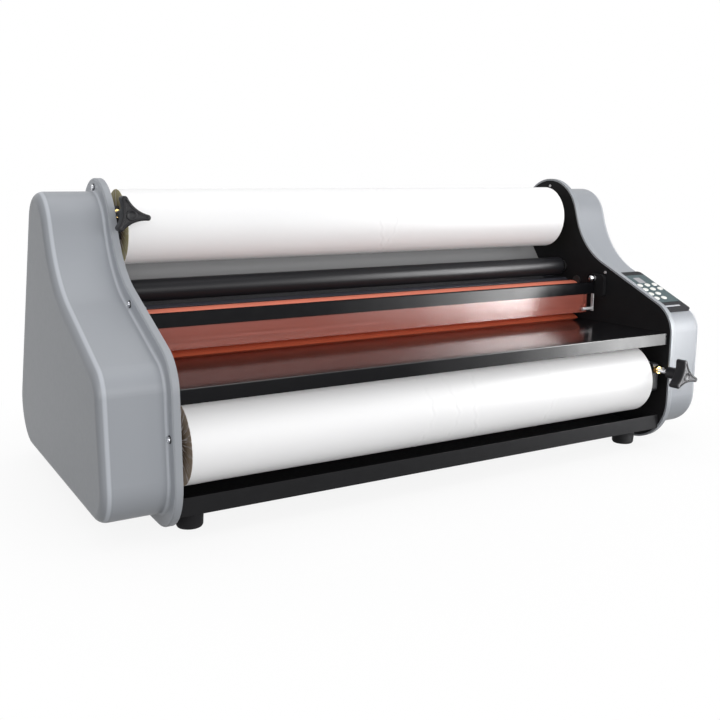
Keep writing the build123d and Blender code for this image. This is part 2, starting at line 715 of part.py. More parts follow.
def drive_motor():
    """Motor with its plate and the standoffs that hold the plate to the left side plate."""
    bore = MOTOR_SHAFT_RADIUS + RUNNING_FIT
    can = rod(MOTOR_RADIUS, PINION, -MOTOR_FACE - MOTOR_LENGTH, -MOTOR_FACE)
    can -= rod(bore, PINION, -MOTOR_FACE - MOTOR_SHAFT_DEPTH - 1, -MOTOR_FACE)
    ys = [PINION[0] + place[0] for place in MOTOR_STANDOFFS]
    zs = [PINION[1] + place[1] for place in MOTOR_STANDOFFS]
    edge = 7.0
    plate = block((-MOTOR_FACE, MOTOR_PLATE - MOTOR_FACE), (min(ys) - edge, max(ys) + edge),
                  (min(zs) - edge, max(zs) + edge))
    plate -= rod(MOTOR_SHAFT_RADIUS + 2, PINION, -MOTOR_FACE, MOTOR_PLATE - MOTOR_FACE)
    solid = can + plate
    for place in zip(ys, zs):
        solid += rod(STANDOFF_RADIUS, place, MOTOR_PLATE - MOTOR_FACE, -OUTER)
    add("drive_motor", solid)


def heater_holder(side, gap):
    """Strip that carries the heater rods' ends, on two posts on the side plate."""
    face = OUTER + gap
    thick = (face, face + HOLDER_THICK)
    arm_y = HEAT_Y - ROLLER_PITCH / 2 - HOLDER_ARM_REACH
    strip = block(thick, (HEAT_Y - HOLDER_HALF_WIDTH, HEAT_Y + HOLDER_HALF_WIDTH),
                  (LOWER_Z - HOLDER_BELOW, UPPER_Z + HOLDER_ABOVE))
    strip += block(thick, (arm_y - HOLDER_ARM_END, HEAT_Y),
                   (NIP_Z - HOLDER_ARM_HALF, NIP_Z + HOLDER_ARM_HALF))
    strip += rod(STANDOFF_RADIUS, (HEAT_Y, UPPER_Z + HOLDER_POST_ABOVE), OUTER, face)
    strip += rod(STANDOFF_RADIUS, (arm_y, NIP_Z), OUTER, face)
    for place in (LOWER_HEAT, UPPER_HEAT):
        strip -= rod(HEATER_RADIUS + SEAT, place, face, face + HOLDER_THICK)
    return strip if side > 0 else mirror(strip, about=Plane.YZ)


def heaters():
    """Heater rods that stand still inside the heat rollers, and their holders."""
    left_gap = GEAR_END + HOLDER_GAP_LEFT - OUTER
    ends = (-(OUTER + left_gap + HEATER_STICK_OUT),
            OUTER + HOLDER_GAP_RIGHT + HOLDER_THICK + HEATER_STICK_OUT)
    rods = [rod(HEATER_RADIUS, place, *ends) for place in (LOWER_HEAT, UPPER_HEAT)]
    add("heater_rods", *rods, heater_holder(-1, left_gap), heater_holder(1, HOLDER_GAP_RIGHT))


def supply(name, place, film_radius, brake_gap, other_gap):
    """Supply shaft, cardboard core and film roll; brake_gap is on the left of the upper one."""
    left, right = brake_gap, other_gap
    shaft_radius = CORE_BORE_RADIUS - 2 * RUNNING_FIT
    shaft = rod(shaft_radius, place, -INNER + left, INNER - right)
    shaft += rod(JOURNAL_RADIUS, place, -SHAFT_END, SHAFT_END)
    core_radius = CORE_BORE_RADIUS + CORE_WALL
    add(name + "_supply_shaft", shaft)
    add(name + "_film_core", tube(core_radius, CORE_BORE_RADIUS, place, FILM_LEFT - CORE_OVERHANG,
                                  FILM_RIGHT + CORE_OVERHANG))
    add(name + "_film_roll", tube(film_radius, core_radius + SEAT, place, FILM_LEFT, FILM_RIGHT))


def supplies():
    """Upper and lower supply: the upper brake is on the left, the lower one on the right."""
    margin = 0.5
    upper_brake = UPPER_BLOCK_GAP + UPPER_BLOCK_THICK + margin
    lower_brake = LOWER_BLOCK_GAP + LOWER_BLOCK_THICK + margin
    plain = UPPER_BLOCK_GAP + UPPER_BLOCK_THICK + margin
    supply("upper", UPPER_SUPPLY, UPPER_FILM_RADIUS, upper_brake, lower_brake)
    supply("lower", LOWER_SUPPLY, LOWER_FILM_RADIUS, plain, lower_brake)


def idlers():
    """Black tubes that the film turns round, with their journals."""
    for name, place in (("upper_idler", UPPER_IDLER), ("lower_idler", LOWER_IDLER)):
        body = rod(IDLER_RADIUS, place, -IDLER_FACE, IDLER_FACE)
        body += rod(IDLER_JOURNAL_RADIUS, place, -SHAFT_END, SHAFT_END)
        add(name, body)


def feed_table():
    """Table sheet with its front lip."""
    half = INNER - TABLE_SIDE_GAP
    table = block((-half, half), (TABLE_FRONT, TABLE_REAR), (TABLE_TOP - TABLE_THICK, TABLE_TOP))
    table += block((-half, half), (TABLE_FRONT, TABLE_FRONT + TABLE_THICK),
                   (TABLE_TOP - TABLE_LIP, TABLE_TOP))
    fold = table.edges().filter_by(Axis.X).sort_by(lambda edge: edge.center().Y - edge.center().Z)[0]
    add("feed_table", fillet(fold, 1.2))


def heat_shield():
    """Black bar with end arms, the clear window, steel strips and pins, and the pivots."""
    end = INNER - SHIELD_SIDE_GAP
    arm = (INNER - SHIELD_ARM_GAP - SHIELD_ARM_THICK, INNER - SHIELD_ARM_GAP)
    y, pivot_z = SHIELD_Y, SHIELD_PIVOT[1]
    bar = block((-arm[0], arm[0]), (y, y + SHEET), (SHIELD_BAR_BOTTOM, SHIELD_BAR_TOP))
    bar += block((-arm[0], arm[0]), (y, y + SHIELD_BAR_FLANGE), (SHIELD_BAR_TOP - SHEET, SHIELD_BAR_TOP))
    arm_face = profile([
        (y, SHIELD_BAR_BOTTOM, 0),
        (y, pivot_z + 6, 5.5),
        (y + SHIELD_BAR_FLANGE, pivot_z + 6, 5.5),
        (y + SHIELD_BAR_FLANGE, SHIELD_BAR_BOTTOM, 4),
    ]) - Pos(*SHIELD_PIVOT) * Circle(PIVOT_SHANK_RADIUS + RUNNING_FIT)
    for side in both_sides(along_x(arm_face, *arm)):
        bar += side
    add("shield_bar", bar)
    add("shield_window", block((-end, end), (y + SHEET, y + SHEET + WINDOW_THICK),
                               (WINDOW_BOTTOM, WINDOW_TOP)))
    strip = block((arm[0], arm[0] + SHEET), (y - STRIP_WIDTH + 2, y + 2),
                  (STRIP_BOTTOM, SHIELD_BAR_BOTTOM))
    pin_y = y + SHEET - SHIELD_PIN_RADIUS - 0.05
    pin = rod(SHIELD_PIN_RADIUS, (pin_y, SHIELD_PIN_Z), arm[0] - SHIELD_PIN_LENGTH, arm[0])
    add("shield_strips", *both_sides(strip + pin))
    shield_pivots(arm)


def shield_pivots(arm):
    """Plates on the side plates and the shiny headed bolts that the shield's arms turn on."""
    y, z = SHIELD_PIVOT
    plate_face = INNER - PIVOT_PLATE_THICK
    front, rear = y - PIVOT_PLATE_FRONT, y + PIVOT_PLATE_REAR
    low, high = z - PIVOT_PLATE_BELOW, z + PIVOT_PLATE_ABOVE
    plate = along_x(profile([(front, low, 4), (front, high, 8), (rear, high, 8), (rear, low, 4)]),
                    plate_face, INNER)
    plate -= rod(PIVOT_SHANK_RADIUS, SHIELD_PIVOT, plate_face, INNER)
    under_head = arm[0] - PIVOT_SIDE_GAP
    bolt = rod(PIVOT_SHANK_RADIUS - SEAT, SHIELD_PIVOT, under_head, INNER)
    bolt += rod(PIVOT_HEAD_RADIUS, SHIELD_PIVOT, under_head - PIVOT_HEAD_LENGTH, under_head)
    bolt += rod(PIVOT_HEAD_RADIUS, SHIELD_PIVOT, arm[1] + PIVOT_SIDE_GAP, plate_face)
    bolt = fillet(bolt.faces().sort_by(Axis.X)[0].edges(), PIVOT_HEAD_ROUND)
    add("shield_pivots", *both_sides(plate), *both_sides(bolt))


def lobe_face(turn):
    """Three-lobed knob seen from the front: round tips joined by hollow sides."""
    tip = LOBE_RADIUS - LOBE_TIP_RADIUS
    hollow = (tip * tip + LOBE_WAIST ** 2 - LOBE_TIP_RADIUS ** 2 - tip * LOBE_WAIST)
    hollow /= tip - 2 * LOBE_WAIST + 2 * LOBE_TIP_RADIUS
    middle = LOBE_WAIST + hollow
    lines = []
    for lobe in range(3):
        angle = radians(turn + 120 * lobe)
        before, after = (polar(middle, angle + side * pi / 3) for side in (-1, 1))
        centre = polar(tip, angle)
        start = toward(before, centre, hollow)
        end = toward(after, centre, hollow)
        following = toward(after, polar(tip, angle + 2 * pi / 3), hollow)
        lines.append(ThreePointArc(start, polar(LOBE_RADIUS, angle), end))
        lines.append(ThreePointArc(end, polar(LOBE_WAIST, angle + pi / 3), following))
    return make_face(lines)


def polar(radius, angle):
    """Point at a radius and an angle in radians."""
    return radius * cos(angle), radius * sin(angle)


def toward(start, goal, distance):
    """Point at a distance from the start, toward the goal."""
    length = hypot(goal[0] - start[0], goal[1] - start[1])
    return tuple(a + (b - a) * distance / length for a, b in zip(start, goal))


def brake(name, x, shaft, front, thick, gap, bare, turn):
    """Split block on a supply shaft, brass bush, stud and knob that clamp it."""
    y, z = shaft
    stud_z = z + STUD_RISE
    near, far = x - thick / 2, x + thick / 2
    ear = y - front
    rear = y + BLOCK_REAR
    body = along_x(profile([(ear, z - BLOCK_BELOW, BLOCK_ROUND), (ear, z + BLOCK_ABOVE, BLOCK_ROUND),
                            (rear, z + BLOCK_ABOVE, BLOCK_ROUND),
                            (rear, z - BLOCK_BELOW, BLOCK_ROUND)]), near, far)
    body -= rod(JOURNAL_RADIUS + RUNNING_FIT, shaft, near, far)
    body -= block((near, far), (y - BLOCK_SLOT / 2, y + BLOCK_SLOT / 2), (z, z + BLOCK_ABOVE))
    body -= along_y(Circle(STUD_RADIUS + 2 * RUNNING_FIT), x, stud_z, ear, rear)
    outer = (near - gap, near) if x < 0 else (far, far + gap)
    pad_depth = BLOCK_REAR - SUPPLY_BUSH_FLANGE_RADIUS - 1
    body += block(outer, (rear - pad_depth, rear - 1), (z - 10, z + 10))
    brass_front = ear - BRASS_LENGTH
    hexagon = RegularPolygon(BRASS_FLATS / 2, 6, major_radius=False)
    hexagon -= Circle(STUD_RADIUS + RUNNING_FIT)
    add(name + "_brake_bush", along_y(hexagon, x, stud_z, brass_front, ear))
    hub_rear = brass_front - bare
    stud = along_y(Circle(STUD_RADIUS), x, stud_z, hub_rear - STUD_IN_KNOB, rear - 1)
    ends = [stud.edges().sort_by(Axis.Y)[0], stud.edges().sort_by(Axis.Y)[-1]]
    add(name + "_tension_stud", chamfer(ends, THREAD_DEPTH * SCREW_PITCH))
    add(name + "_tension_knob", knob(x, stud_z, hub_rear, turn))
    return body


def knob(x, z, rear, turn):
    """Moulded knob: a round hub behind three lobes, with a blind bore for the stud."""
    front = rear - HUB_LENGTH - LOBE_THICK
    lobes = along_y(lobe_face(turn), x, z, front, rear - HUB_LENGTH)
    lobes = fillet(lobes.faces().sort_by(Axis.Y)[0].edges(), LOBE_ROUND)
    solid = lobes + along_y(Circle(HUB_RADIUS), x, z, rear - HUB_LENGTH, rear)
    return solid - along_y(Circle(STUD_RADIUS + SEAT), x, z, rear - STUD_IN_KNOB - 1, rear)


def brakes():
    """Upper brake on the left plate and lower brake on the right plate."""
    upper = brake("upper", UPPER_BRAKE_X, UPPER_SUPPLY, UPPER_BLOCK_FRONT, UPPER_BLOCK_THICK,
                  UPPER_BLOCK_GAP, UPPER_BARE_STUD, UPPER_KNOB_TURN)
    lower = brake("lower", LOWER_BRAKE_X, LOWER_SUPPLY, LOWER_BLOCK_FRONT, LOWER_BLOCK_THICK,
                  LOWER_BLOCK_GAP, LOWER_BARE_STUD, LOWER_KNOB_TURN)
    add("brake_blocks", upper, lower)


def control_panel():
    """Bezel, keypad plate, keys, and the board with its display and switches behind them."""
    window = Pos(DISPLAY_MIDDLE[0], -DISPLAY_MIDDLE[1]) * Rectangle(*DISPLAY_SIZE)
    module = Pos(DISPLAY_MIDDLE[0], -DISPLAY_MIDDLE[1]) * Rectangle(
        DISPLAY_SIZE[0] + 2 * DISPLAY_MARGIN, DISPLAY_SIZE[1] + 2 * DISPLAY_MARGIN)
    holes = [Pos(*place) * Ellipse(KEY_RADII[0] + KEY_FIT, KEY_RADII[1] + KEY_FIT) for place in KEYS]
    bezel_face = fillet(panel_rectangle(BEZEL_LEFT, BEZEL_RIGHT, BEZEL_UP, BEZEL_DOWN).vertices(),
                        BEZEL_ROUND)
    bezel_face -= offset(module, amount=0.2, kind=Kind.INTERSECTION)
    keypad_face = fillet(panel_rectangle(KEYPAD_LEFT, KEYPAD_RIGHT, KEYPAD_UP, KEYPAD_DOWN).vertices(),
                         BEZEL_ROUND / 2)
    keypad_face -= window
    for hole in holes:
        bezel_face -= hole
        keypad_face -= hole
    bezel = on_panel(bezel_face, -SHEET, BEZEL_THICK) - cover_box(0, COVER_FACE, COVER_ROUND)
    add("control_bezel", bezel)
    keypad_top = BEZEL_THICK + KEYPAD_THICK
    add("keypad_plate", on_panel(keypad_face, BEZEL_THICK, keypad_top))
    switch_top = SWITCH_HEIGHT - BOARD_DEPTH
    for number, place in enumerate(KEYS, 1):
        cap_top = keypad_top + KEY_PROUD
        key = on_panel(Pos(*place) * Ellipse(*KEY_RADII), cap_top - KEY_CAP, cap_top)
        key = fillet(key.faces().sort_by(Axis.Z)[-1].edges(), 0.5)
        key += on_panel(Pos(*place) * Circle(KEY_STEM_RADIUS), switch_top + KEY_TRAVEL + 0.1,
                        cap_top - KEY_CAP)
        add(f"key_{number}", key)
    control_board(module)


def control_board(module):
    """Board hung from the bezel on four posts, with the display and a switch under each key."""
    board = on_panel(panel_rectangle(BOARD_LEFT, BOARD_RIGHT, BOARD_UP, BOARD_DOWN),
                     -BOARD_DEPTH - BOARD_THICK, -BOARD_DEPTH)
    board += on_panel(module, -BOARD_DEPTH, BEZEL_THICK)
    edge = 2.6
    for x in (BOARD_LEFT + edge, BOARD_RIGHT - edge):
        for down in (BOARD_UP + edge, BOARD_DOWN - edge):
            board += on_panel(Pos(x, -down) * Circle(edge - 0.2), -BOARD_DEPTH, 0)
    for place in KEYS:
        board += on_panel(Pos(*place) * Rectangle(4, 4), -BOARD_DEPTH, SWITCH_HEIGHT - BOARD_DEPTH)
    add("circuit_boards", board, power_board())


def power_board():
    """Board on four posts on the right side plate, with its transformer and other parts."""
    face = OUTER + POWER_BOARD_GAP
    board = block((face, face + BOARD_THICK), POWER_BOARD_Y, POWER_BOARD_Z)
    for y in (POWER_BOARD_Y[0] + POWER_BOARD_POST, POWER_BOARD_Y[1] - POWER_BOARD_POST):
        for z in (POWER_BOARD_Z[0] + POWER_BOARD_POST, POWER_BOARD_Z[1] - POWER_BOARD_POST):
            board += rod(STANDOFF_RADIUS, (y, z), OUTER, face)
    y, z = POWER_BOARD_Y[0], POWER_BOARD_Z[0]
    parts = face + BOARD_THICK
    for (rear_y, front_y), (low_z, high_z), height in (TRANSFORMER, HEAT_SINK):
        board += block((parts, parts + height), (y + rear_y, y + front_y), (z + low_z, z + high_z))
    (middle_y, middle_z), radius, height = CAPACITOR
    return board + rod(radius, (y + middle_y, z + middle_z), parts, parts + height)


def power_entry():
    """Inlet and rocker switch in the rear panel."""
    add("power_entry", rear_case(INLET_X, INLET_SIZE, inlet_socket()),
        rear_case(ROCKER_X, ROCKER_CASE, rocker_window()))
    rocker()


def rear_case(x, size, cut):
    """Case through the rear panel with a rim on its outside, less the cut."""
    wide, high, deep = size
    case = along_y(Rectangle(wide - FITTING_GAP, high - FITTING_GAP), x, REAR_FITTINGS_Z,
                   REAR_PANEL_Y - deep, REAR_PANEL_Y + SHEET)
    case += along_y(Rectangle(wide + FITTING_RIM, high + FITTING_RIM), x, REAR_FITTINGS_Z,
                    REAR_PANEL_Y + SHEET, REAR_PANEL_Y + 2 * SHEET)
    return case - cut


def inlet_socket():
    """Hollow of the inlet, round its three blades."""
    floor = REAR_PANEL_Y - INLET_SIZE[2] + INLET_FLOOR
    mouth = Rectangle(INLET_SIZE[0] - INLET_WALLS[0], INLET_SIZE[1] - INLET_WALLS[1])
    hollow = along_y(mouth, INLET_X, REAR_FITTINGS_Z, floor, REAR_PANEL_Y + 2 * SHEET)
    for x, z in INLET_BLADES:
        hollow -= along_y(Rectangle(*BLADE_SIZE), INLET_X + x, REAR_FITTINGS_Z + z, floor,
                          REAR_PANEL_Y - BLADE_DEPTH)
    return hollow


def rocker_window():
    """Hollow that the rocker tilts in."""
    return along_y(Rectangle(*ROCKER_WINDOW), ROCKER_X, REAR_FITTINGS_Z,
                   REAR_PANEL_Y - ROCKER_CASE[2] + ROCKER_FLOOR, REAR_PANEL_Y + 2 * SHEET)


def rocker():
    """Rocker with a shallow hollow across its face, tilted to its off side."""
    _, y, z = ROCKER_PIVOT
    half = ROCKER_WINDOW[0] / 2 - ROCKER_GAP
    reach = ROCKER_WINDOW[1] / 2 - ROCKER_END_GAP
    back, front = y - ROCKER_BACK, y + ROCKER_FRONT
    face = profile([(back, z - reach + ROCKER_TAPER, 0), (front, z - reach, 0),
                    (front - ROCKER_DISH, z, ROCKER_DISH_RADIUS), (front, z + reach, 0),
                    (back, z + reach - ROCKER_TAPER, 0)])
    rocker_body = along_x(face, ROCKER_X - half, ROCKER_X + half)
    pivot = Axis(ROCKER_PIVOT, (1, 0, 0))
    add("power_rocker", rocker_body.rotate(pivot, -ROCKER_TILT))


side_plates()
covers()
cover_screws()
base()
hood()
rear_panel()
shaft_bearings()
heat_roller("upper_heat", UPPER_HEAT)
heat_roller("lower_heat", LOWER_HEAT)
pull_roller("upper_pull", UPPER_PULL)
pull_roller("lower_pull", LOWER_PULL)
gear_train()
drive_motor()
heaters()
supplies()
idlers()
feed_table()
heat_shield()
brakes()
control_panel()
power_entry()

os.makedirs("parts", exist_ok=True)
for name, solids in nodes.items():
    shape = solids[0] if len(solids) == 1 else Compound(children=list(solids))
    export_step(shape, f"parts/{name}.step")
print(len(nodes), "nodes")
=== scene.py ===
"""Looks of a table-top roll laminator: its detailed pieces, their finishes, the light and the camera."""
import json

import bmesh
import bpy
import numpy as np
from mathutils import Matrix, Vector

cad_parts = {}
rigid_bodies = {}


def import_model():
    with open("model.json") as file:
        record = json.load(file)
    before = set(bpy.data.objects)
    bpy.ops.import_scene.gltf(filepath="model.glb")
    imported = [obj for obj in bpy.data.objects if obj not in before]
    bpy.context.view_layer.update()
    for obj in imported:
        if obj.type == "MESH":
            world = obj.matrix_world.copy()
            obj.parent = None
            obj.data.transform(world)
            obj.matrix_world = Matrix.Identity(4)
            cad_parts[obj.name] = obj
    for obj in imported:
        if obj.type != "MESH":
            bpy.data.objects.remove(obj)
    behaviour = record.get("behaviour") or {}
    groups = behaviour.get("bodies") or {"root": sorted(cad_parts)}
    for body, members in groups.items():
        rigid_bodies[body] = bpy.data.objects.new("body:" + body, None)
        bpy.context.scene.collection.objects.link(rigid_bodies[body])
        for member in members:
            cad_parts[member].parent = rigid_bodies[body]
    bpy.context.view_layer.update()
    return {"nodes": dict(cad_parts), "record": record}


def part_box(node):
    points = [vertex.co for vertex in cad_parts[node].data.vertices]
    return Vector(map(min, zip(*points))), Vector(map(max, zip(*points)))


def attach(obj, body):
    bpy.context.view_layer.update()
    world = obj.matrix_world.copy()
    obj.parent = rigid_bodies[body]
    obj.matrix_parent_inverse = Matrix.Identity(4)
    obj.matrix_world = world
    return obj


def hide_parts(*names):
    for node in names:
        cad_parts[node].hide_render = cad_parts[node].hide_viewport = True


bl_info = {
    "name": "Roll Laminator Looks",
    "version": (1, 0, 0),
    "blender": (4, 5, 0),
    "location": "View3D > Sidebar > Laminator",
    "description": "Detailed pieces and finishes for a roll laminator, with a plain studio",
    "category": "Object",
}

for leftover in list(bpy.data.objects):
    bpy.data.objects.remove(leftover)
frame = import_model()
SLOTS = {name: node.data.materials[0].name.split(".")[0] for name, node in frame["nodes"].items()}

# Lengths below are in millimetres, as in the CAD, and turn into metres in one place.
MM = 0.001
AXES = {"x": (2, 0, 1), "y": (0, 2, 1), "z": (0, 1, 2)}


# Outlines and profiles, as arrays of points in a plane


def rounded(corners, closed=False, steps=8, support=0.35):
    """Polyline whose corners (u, v, radius) become arcs.

    Each arc runs between its two tangent points, and a point a short way before and after it keeps
    the shading of the straight runs flat.
    """
    points = np.array([corner[:2] for corner in corners], float)
    runs = []
    last = len(corners) - 1
    for i, (u, v, radius) in enumerate(corners):
        if radius <= 0 or (not closed and i in (0, last)):
            runs.append(points[i:i + 1])
            continue
        back = points[i - 1] - points[i]
        ahead = points[(i + 1) % len(corners)] - points[i]
        back_length, ahead_length = np.hypot(*back), np.hypot(*ahead)
        back, ahead = back / back_length, ahead / ahead_length
        half = np.arccos(np.clip(back @ ahead, -1, 1)) / 2
        reach = radius / np.tan(half)
        middle = points[i] + (back + ahead) / np.hypot(*(back + ahead)) * radius / np.sin(half)
        start, end = points[i] + back * reach, points[i] + ahead * reach
        first = np.arctan2(*(start - middle)[::-1])
        turn = (np.arctan2(*(end - middle)[::-1]) - first + np.pi) % (2 * np.pi) - np.pi
        angles = first + turn * np.linspace(0, 1, steps + 1)
        arc = middle + radius * np.stack([np.cos(angles), np.sin(angles)], 1)
        extra = min(support * radius, 0.2 * back_length, 0.2 * ahead_length)
        runs.append(np.vstack([start + back * extra, arc, end + ahead * extra]))
    return np.vstack(runs)


def outward(loop):
    """Outward unit normals of a closed loop, at right angles to the line between its neighbours."""
    along = np.roll(loop, -1, 0) - np.roll(loop, 1, 0)
    normals = np.stack([along[:, 1], -along[:, 0]], 1)
    normals /= np.linalg.norm(normals, axis=1)[:, None] + 1e-12
    following = np.roll(loop, -1, 0)
    area = np.sum(loop[:, 0] * following[:, 1] - following[:, 0] * loop[:, 1])
    return normals * np.sign(area)


def unit_circle(sides):
    """Closed loop of points at a distance of one from the origin."""
    angles = np.arange(sides) * 2 * np.pi / sides
    return np.stack([np.cos(angles), np.sin(angles)], 1)


# Meshes


def pieces_mesh(name, points, faces, smooth=True, crease=35.0):
    """New object at the origin from points in millimetres and lists of faces, facing outwards."""
    mesh = bpy.data.meshes.new(name)
    mesh.from_pydata((np.asarray(points, float).reshape(-1, 3) * MM).tolist(), [], faces)
    work = bmesh.new()
    work.from_mesh(mesh)
    bmesh.ops.recalc_face_normals(work, faces=work.faces)
    work.to_mesh(mesh)
    work.free()
    mesh.polygons.foreach_set("use_smooth", np.full(len(mesh.polygons), smooth))
    if smooth:
        mesh.set_sharp_from_angle(angle=np.radians(crease))
    piece = bpy.data.objects.new(name, mesh)
    bpy.context.scene.collection.objects.link(piece)
    return piece


def ring_faces(rings, sides, copies=1, cyclic=False):
    """Quads between neighbouring rings, with an n-gon on the first and the last unless cyclic."""
    ring, side = np.meshgrid(np.arange(rings if cyclic else rings - 1), np.arange(sides), indexing="ij")
    following, beside = (ring + 1) % rings, (side + 1) % sides
    quads = np.stack([ring * sides + side, following * sides + side,
                      following * sides + beside, ring * sides + beside], -1).reshape(-1, 4)
    start = (np.arange(copies) * rings * sides)[:, None, None]
    faces = (quads[None] + start).reshape(-1, 4).tolist()
    if not cyclic:
        first = np.arange(sides)
        ends = np.stack([first, (rings - 1) * sides + first[::-1]])
        faces += (ends[None] + start).reshape(-1, sides).tolist()
    return faces


def placed(plane, height, axis):
    """Points (u, v) at a height along an axis, as X, Y, Z."""
    stacked = np.stack([plane[..., 0], plane[..., 1], np.broadcast_to(height, plane.shape[:-1])], -1)
    return stacked[..., AXES[axis]]


def edge_section(low, high, edge, steps=3):
    """Section of a plate from low to high whose two rims are quarter rounds."""
    bend = np.linspace(0, np.pi / 2, steps + 1)
    out, up = edge * (np.sin(bend) - 1), edge * (1 - np.cos(bend))
    first = np.stack([out, low + up], 1)
    rims = np.vstack([first, np.stack([out, high - up], 1)[::-1]])
    inside = [(-edge * 1.3, low)], [(-edge * 1.3, high)]
    return np.vstack([inside[0], rims, inside[1]])


def turned(name, profile, centre, axis="x", sides=96, change=None, cyclic=False, crease=35.0):
    """Solid of revolution: each profile point (along, radius) becomes a ring round the axis.

    change(along, angle) adds to the radius, so a ring need not be round.
    """
    profile = np.array(profile, float)
    angles = np.arange(sides) * 2 * np.pi / sides
    along, angle = np.meshgrid(profile[:, 0], angles, indexing="ij")
    radius = np.repeat(profile[:, 1:2], sides, 1)
    if change is not None:
        radius = radius + change(along, angle)
    plane = np.stack([centre[0] + radius * np.cos(angle), centre[1] + radius * np.sin(angle)], -1)
    points = placed(plane, along, axis)
    return pieces_mesh(name, points, ring_faces(len(profile), sides, cyclic=cyclic), crease=crease)


def softened(name, node, edge, body):
    """Copy of a CAD node whose coplanar triangles are joined and whose sharp edges are rounded.

    The copy loses the normals it came with, which would bend the light on its joined flat faces.
    """
    piece = bpy.data.objects.new(name, frame["nodes"][node].data.copy())
    bpy.context.scene.collection.objects.link(piece)
    work = bmesh.new()
    work.from_mesh(piece.data)
    bmesh.ops.remove_doubles(work, verts=work.verts, dist=1e-6)
    bmesh.ops.dissolve_limit(work, angle_limit=np.radians(0.5), verts=work.verts, edges=work.edges)
    work.to_mesh(piece.data)
    work.free()
    if "custom_normal" in piece.data.attributes:
        piece.data.attributes.remove(piece.data.attributes["custom_normal"])
    piece.data.polygons.foreach_set("use_smooth", np.full(len(piece.data.polygons), True))
    rim = piece.modifiers.new("Edges", "BEVEL")
    rim.width = edge * MM
    rim.segments = 2
    rim.limit_method = "ANGLE"
    rim.angle_limit = np.radians(40)
    rim.harden_normals = True
    return fitted(piece, body, None, node)


def fitted(piece, body, finish, *nodes, slot=None):
    """Let a piece ride on its body, wear its finish and stand for the CAD nodes it replaces."""
    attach(piece, body)
    if nodes:
        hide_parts(*nodes)
        slot = slot or SLOTS[nodes[0]]
    if finish is not None:
        piece.data.materials.clear()
        piece.data.materials.append(finish)
    return piece


def box_of(node):
    """Lowest and highest corner of a CAD node, in millimetres."""
    return tuple(np.array(corner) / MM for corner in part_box(node))


def round_box(node):
    """Centre (y, z), radius, left and right end of a node that is round about X, in millimetres."""
    low, high = box_of(node)
    return ((low[1] + high[1]) / 2, (low[2] + high[2]) / 2), (high[2] - low[2]) / 2, low[0], high[0]


# Shader values and finishes


class Value:
    """A number in a shader. Arithmetic on it adds Math nodes."""

    def __init__(self, tree, socket):
        self.tree = tree
        self.socket = socket

    def math(self, operation, first, second=0.0):
        node = self.tree.nodes.new("ShaderNodeMath")
        node.operation = operation
        for place, item in zip(node.inputs, (first, second)):
            if isinstance(item, Value):
                self.tree.links.new(item.socket, place)
            else:
                place.default_value = item
        return Value(self.tree, node.outputs[0])

    def __add__(self, other):
        return self.math("ADD", self, other)

    def __radd__(self, other):
        return self.math("ADD", other, self)

    def __sub__(self, other):
        return self.math("SUBTRACT", self, other)

    def __rsub__(self, other):
        return self.math("SUBTRACT", other, self)

    def __mul__(self, other):
        return self.math("MULTIPLY", self, other)

    def __rmul__(self, other):
        return self.math("MULTIPLY", other, self)

    def __truediv__(self, other):
        return self.math("DIVIDE", self, other)

    def __gt__(self, other):
        return self.math("GREATER_THAN", self, other)

    def __lt__(self, other):
        return self.math("LESS_THAN", self, other)

    def __abs__(self):
        return self.math("ABSOLUTE", self)

    def sine(self):
        return self.math("SINE", self)

    def root(self):
        return self.math("SQRT", self)


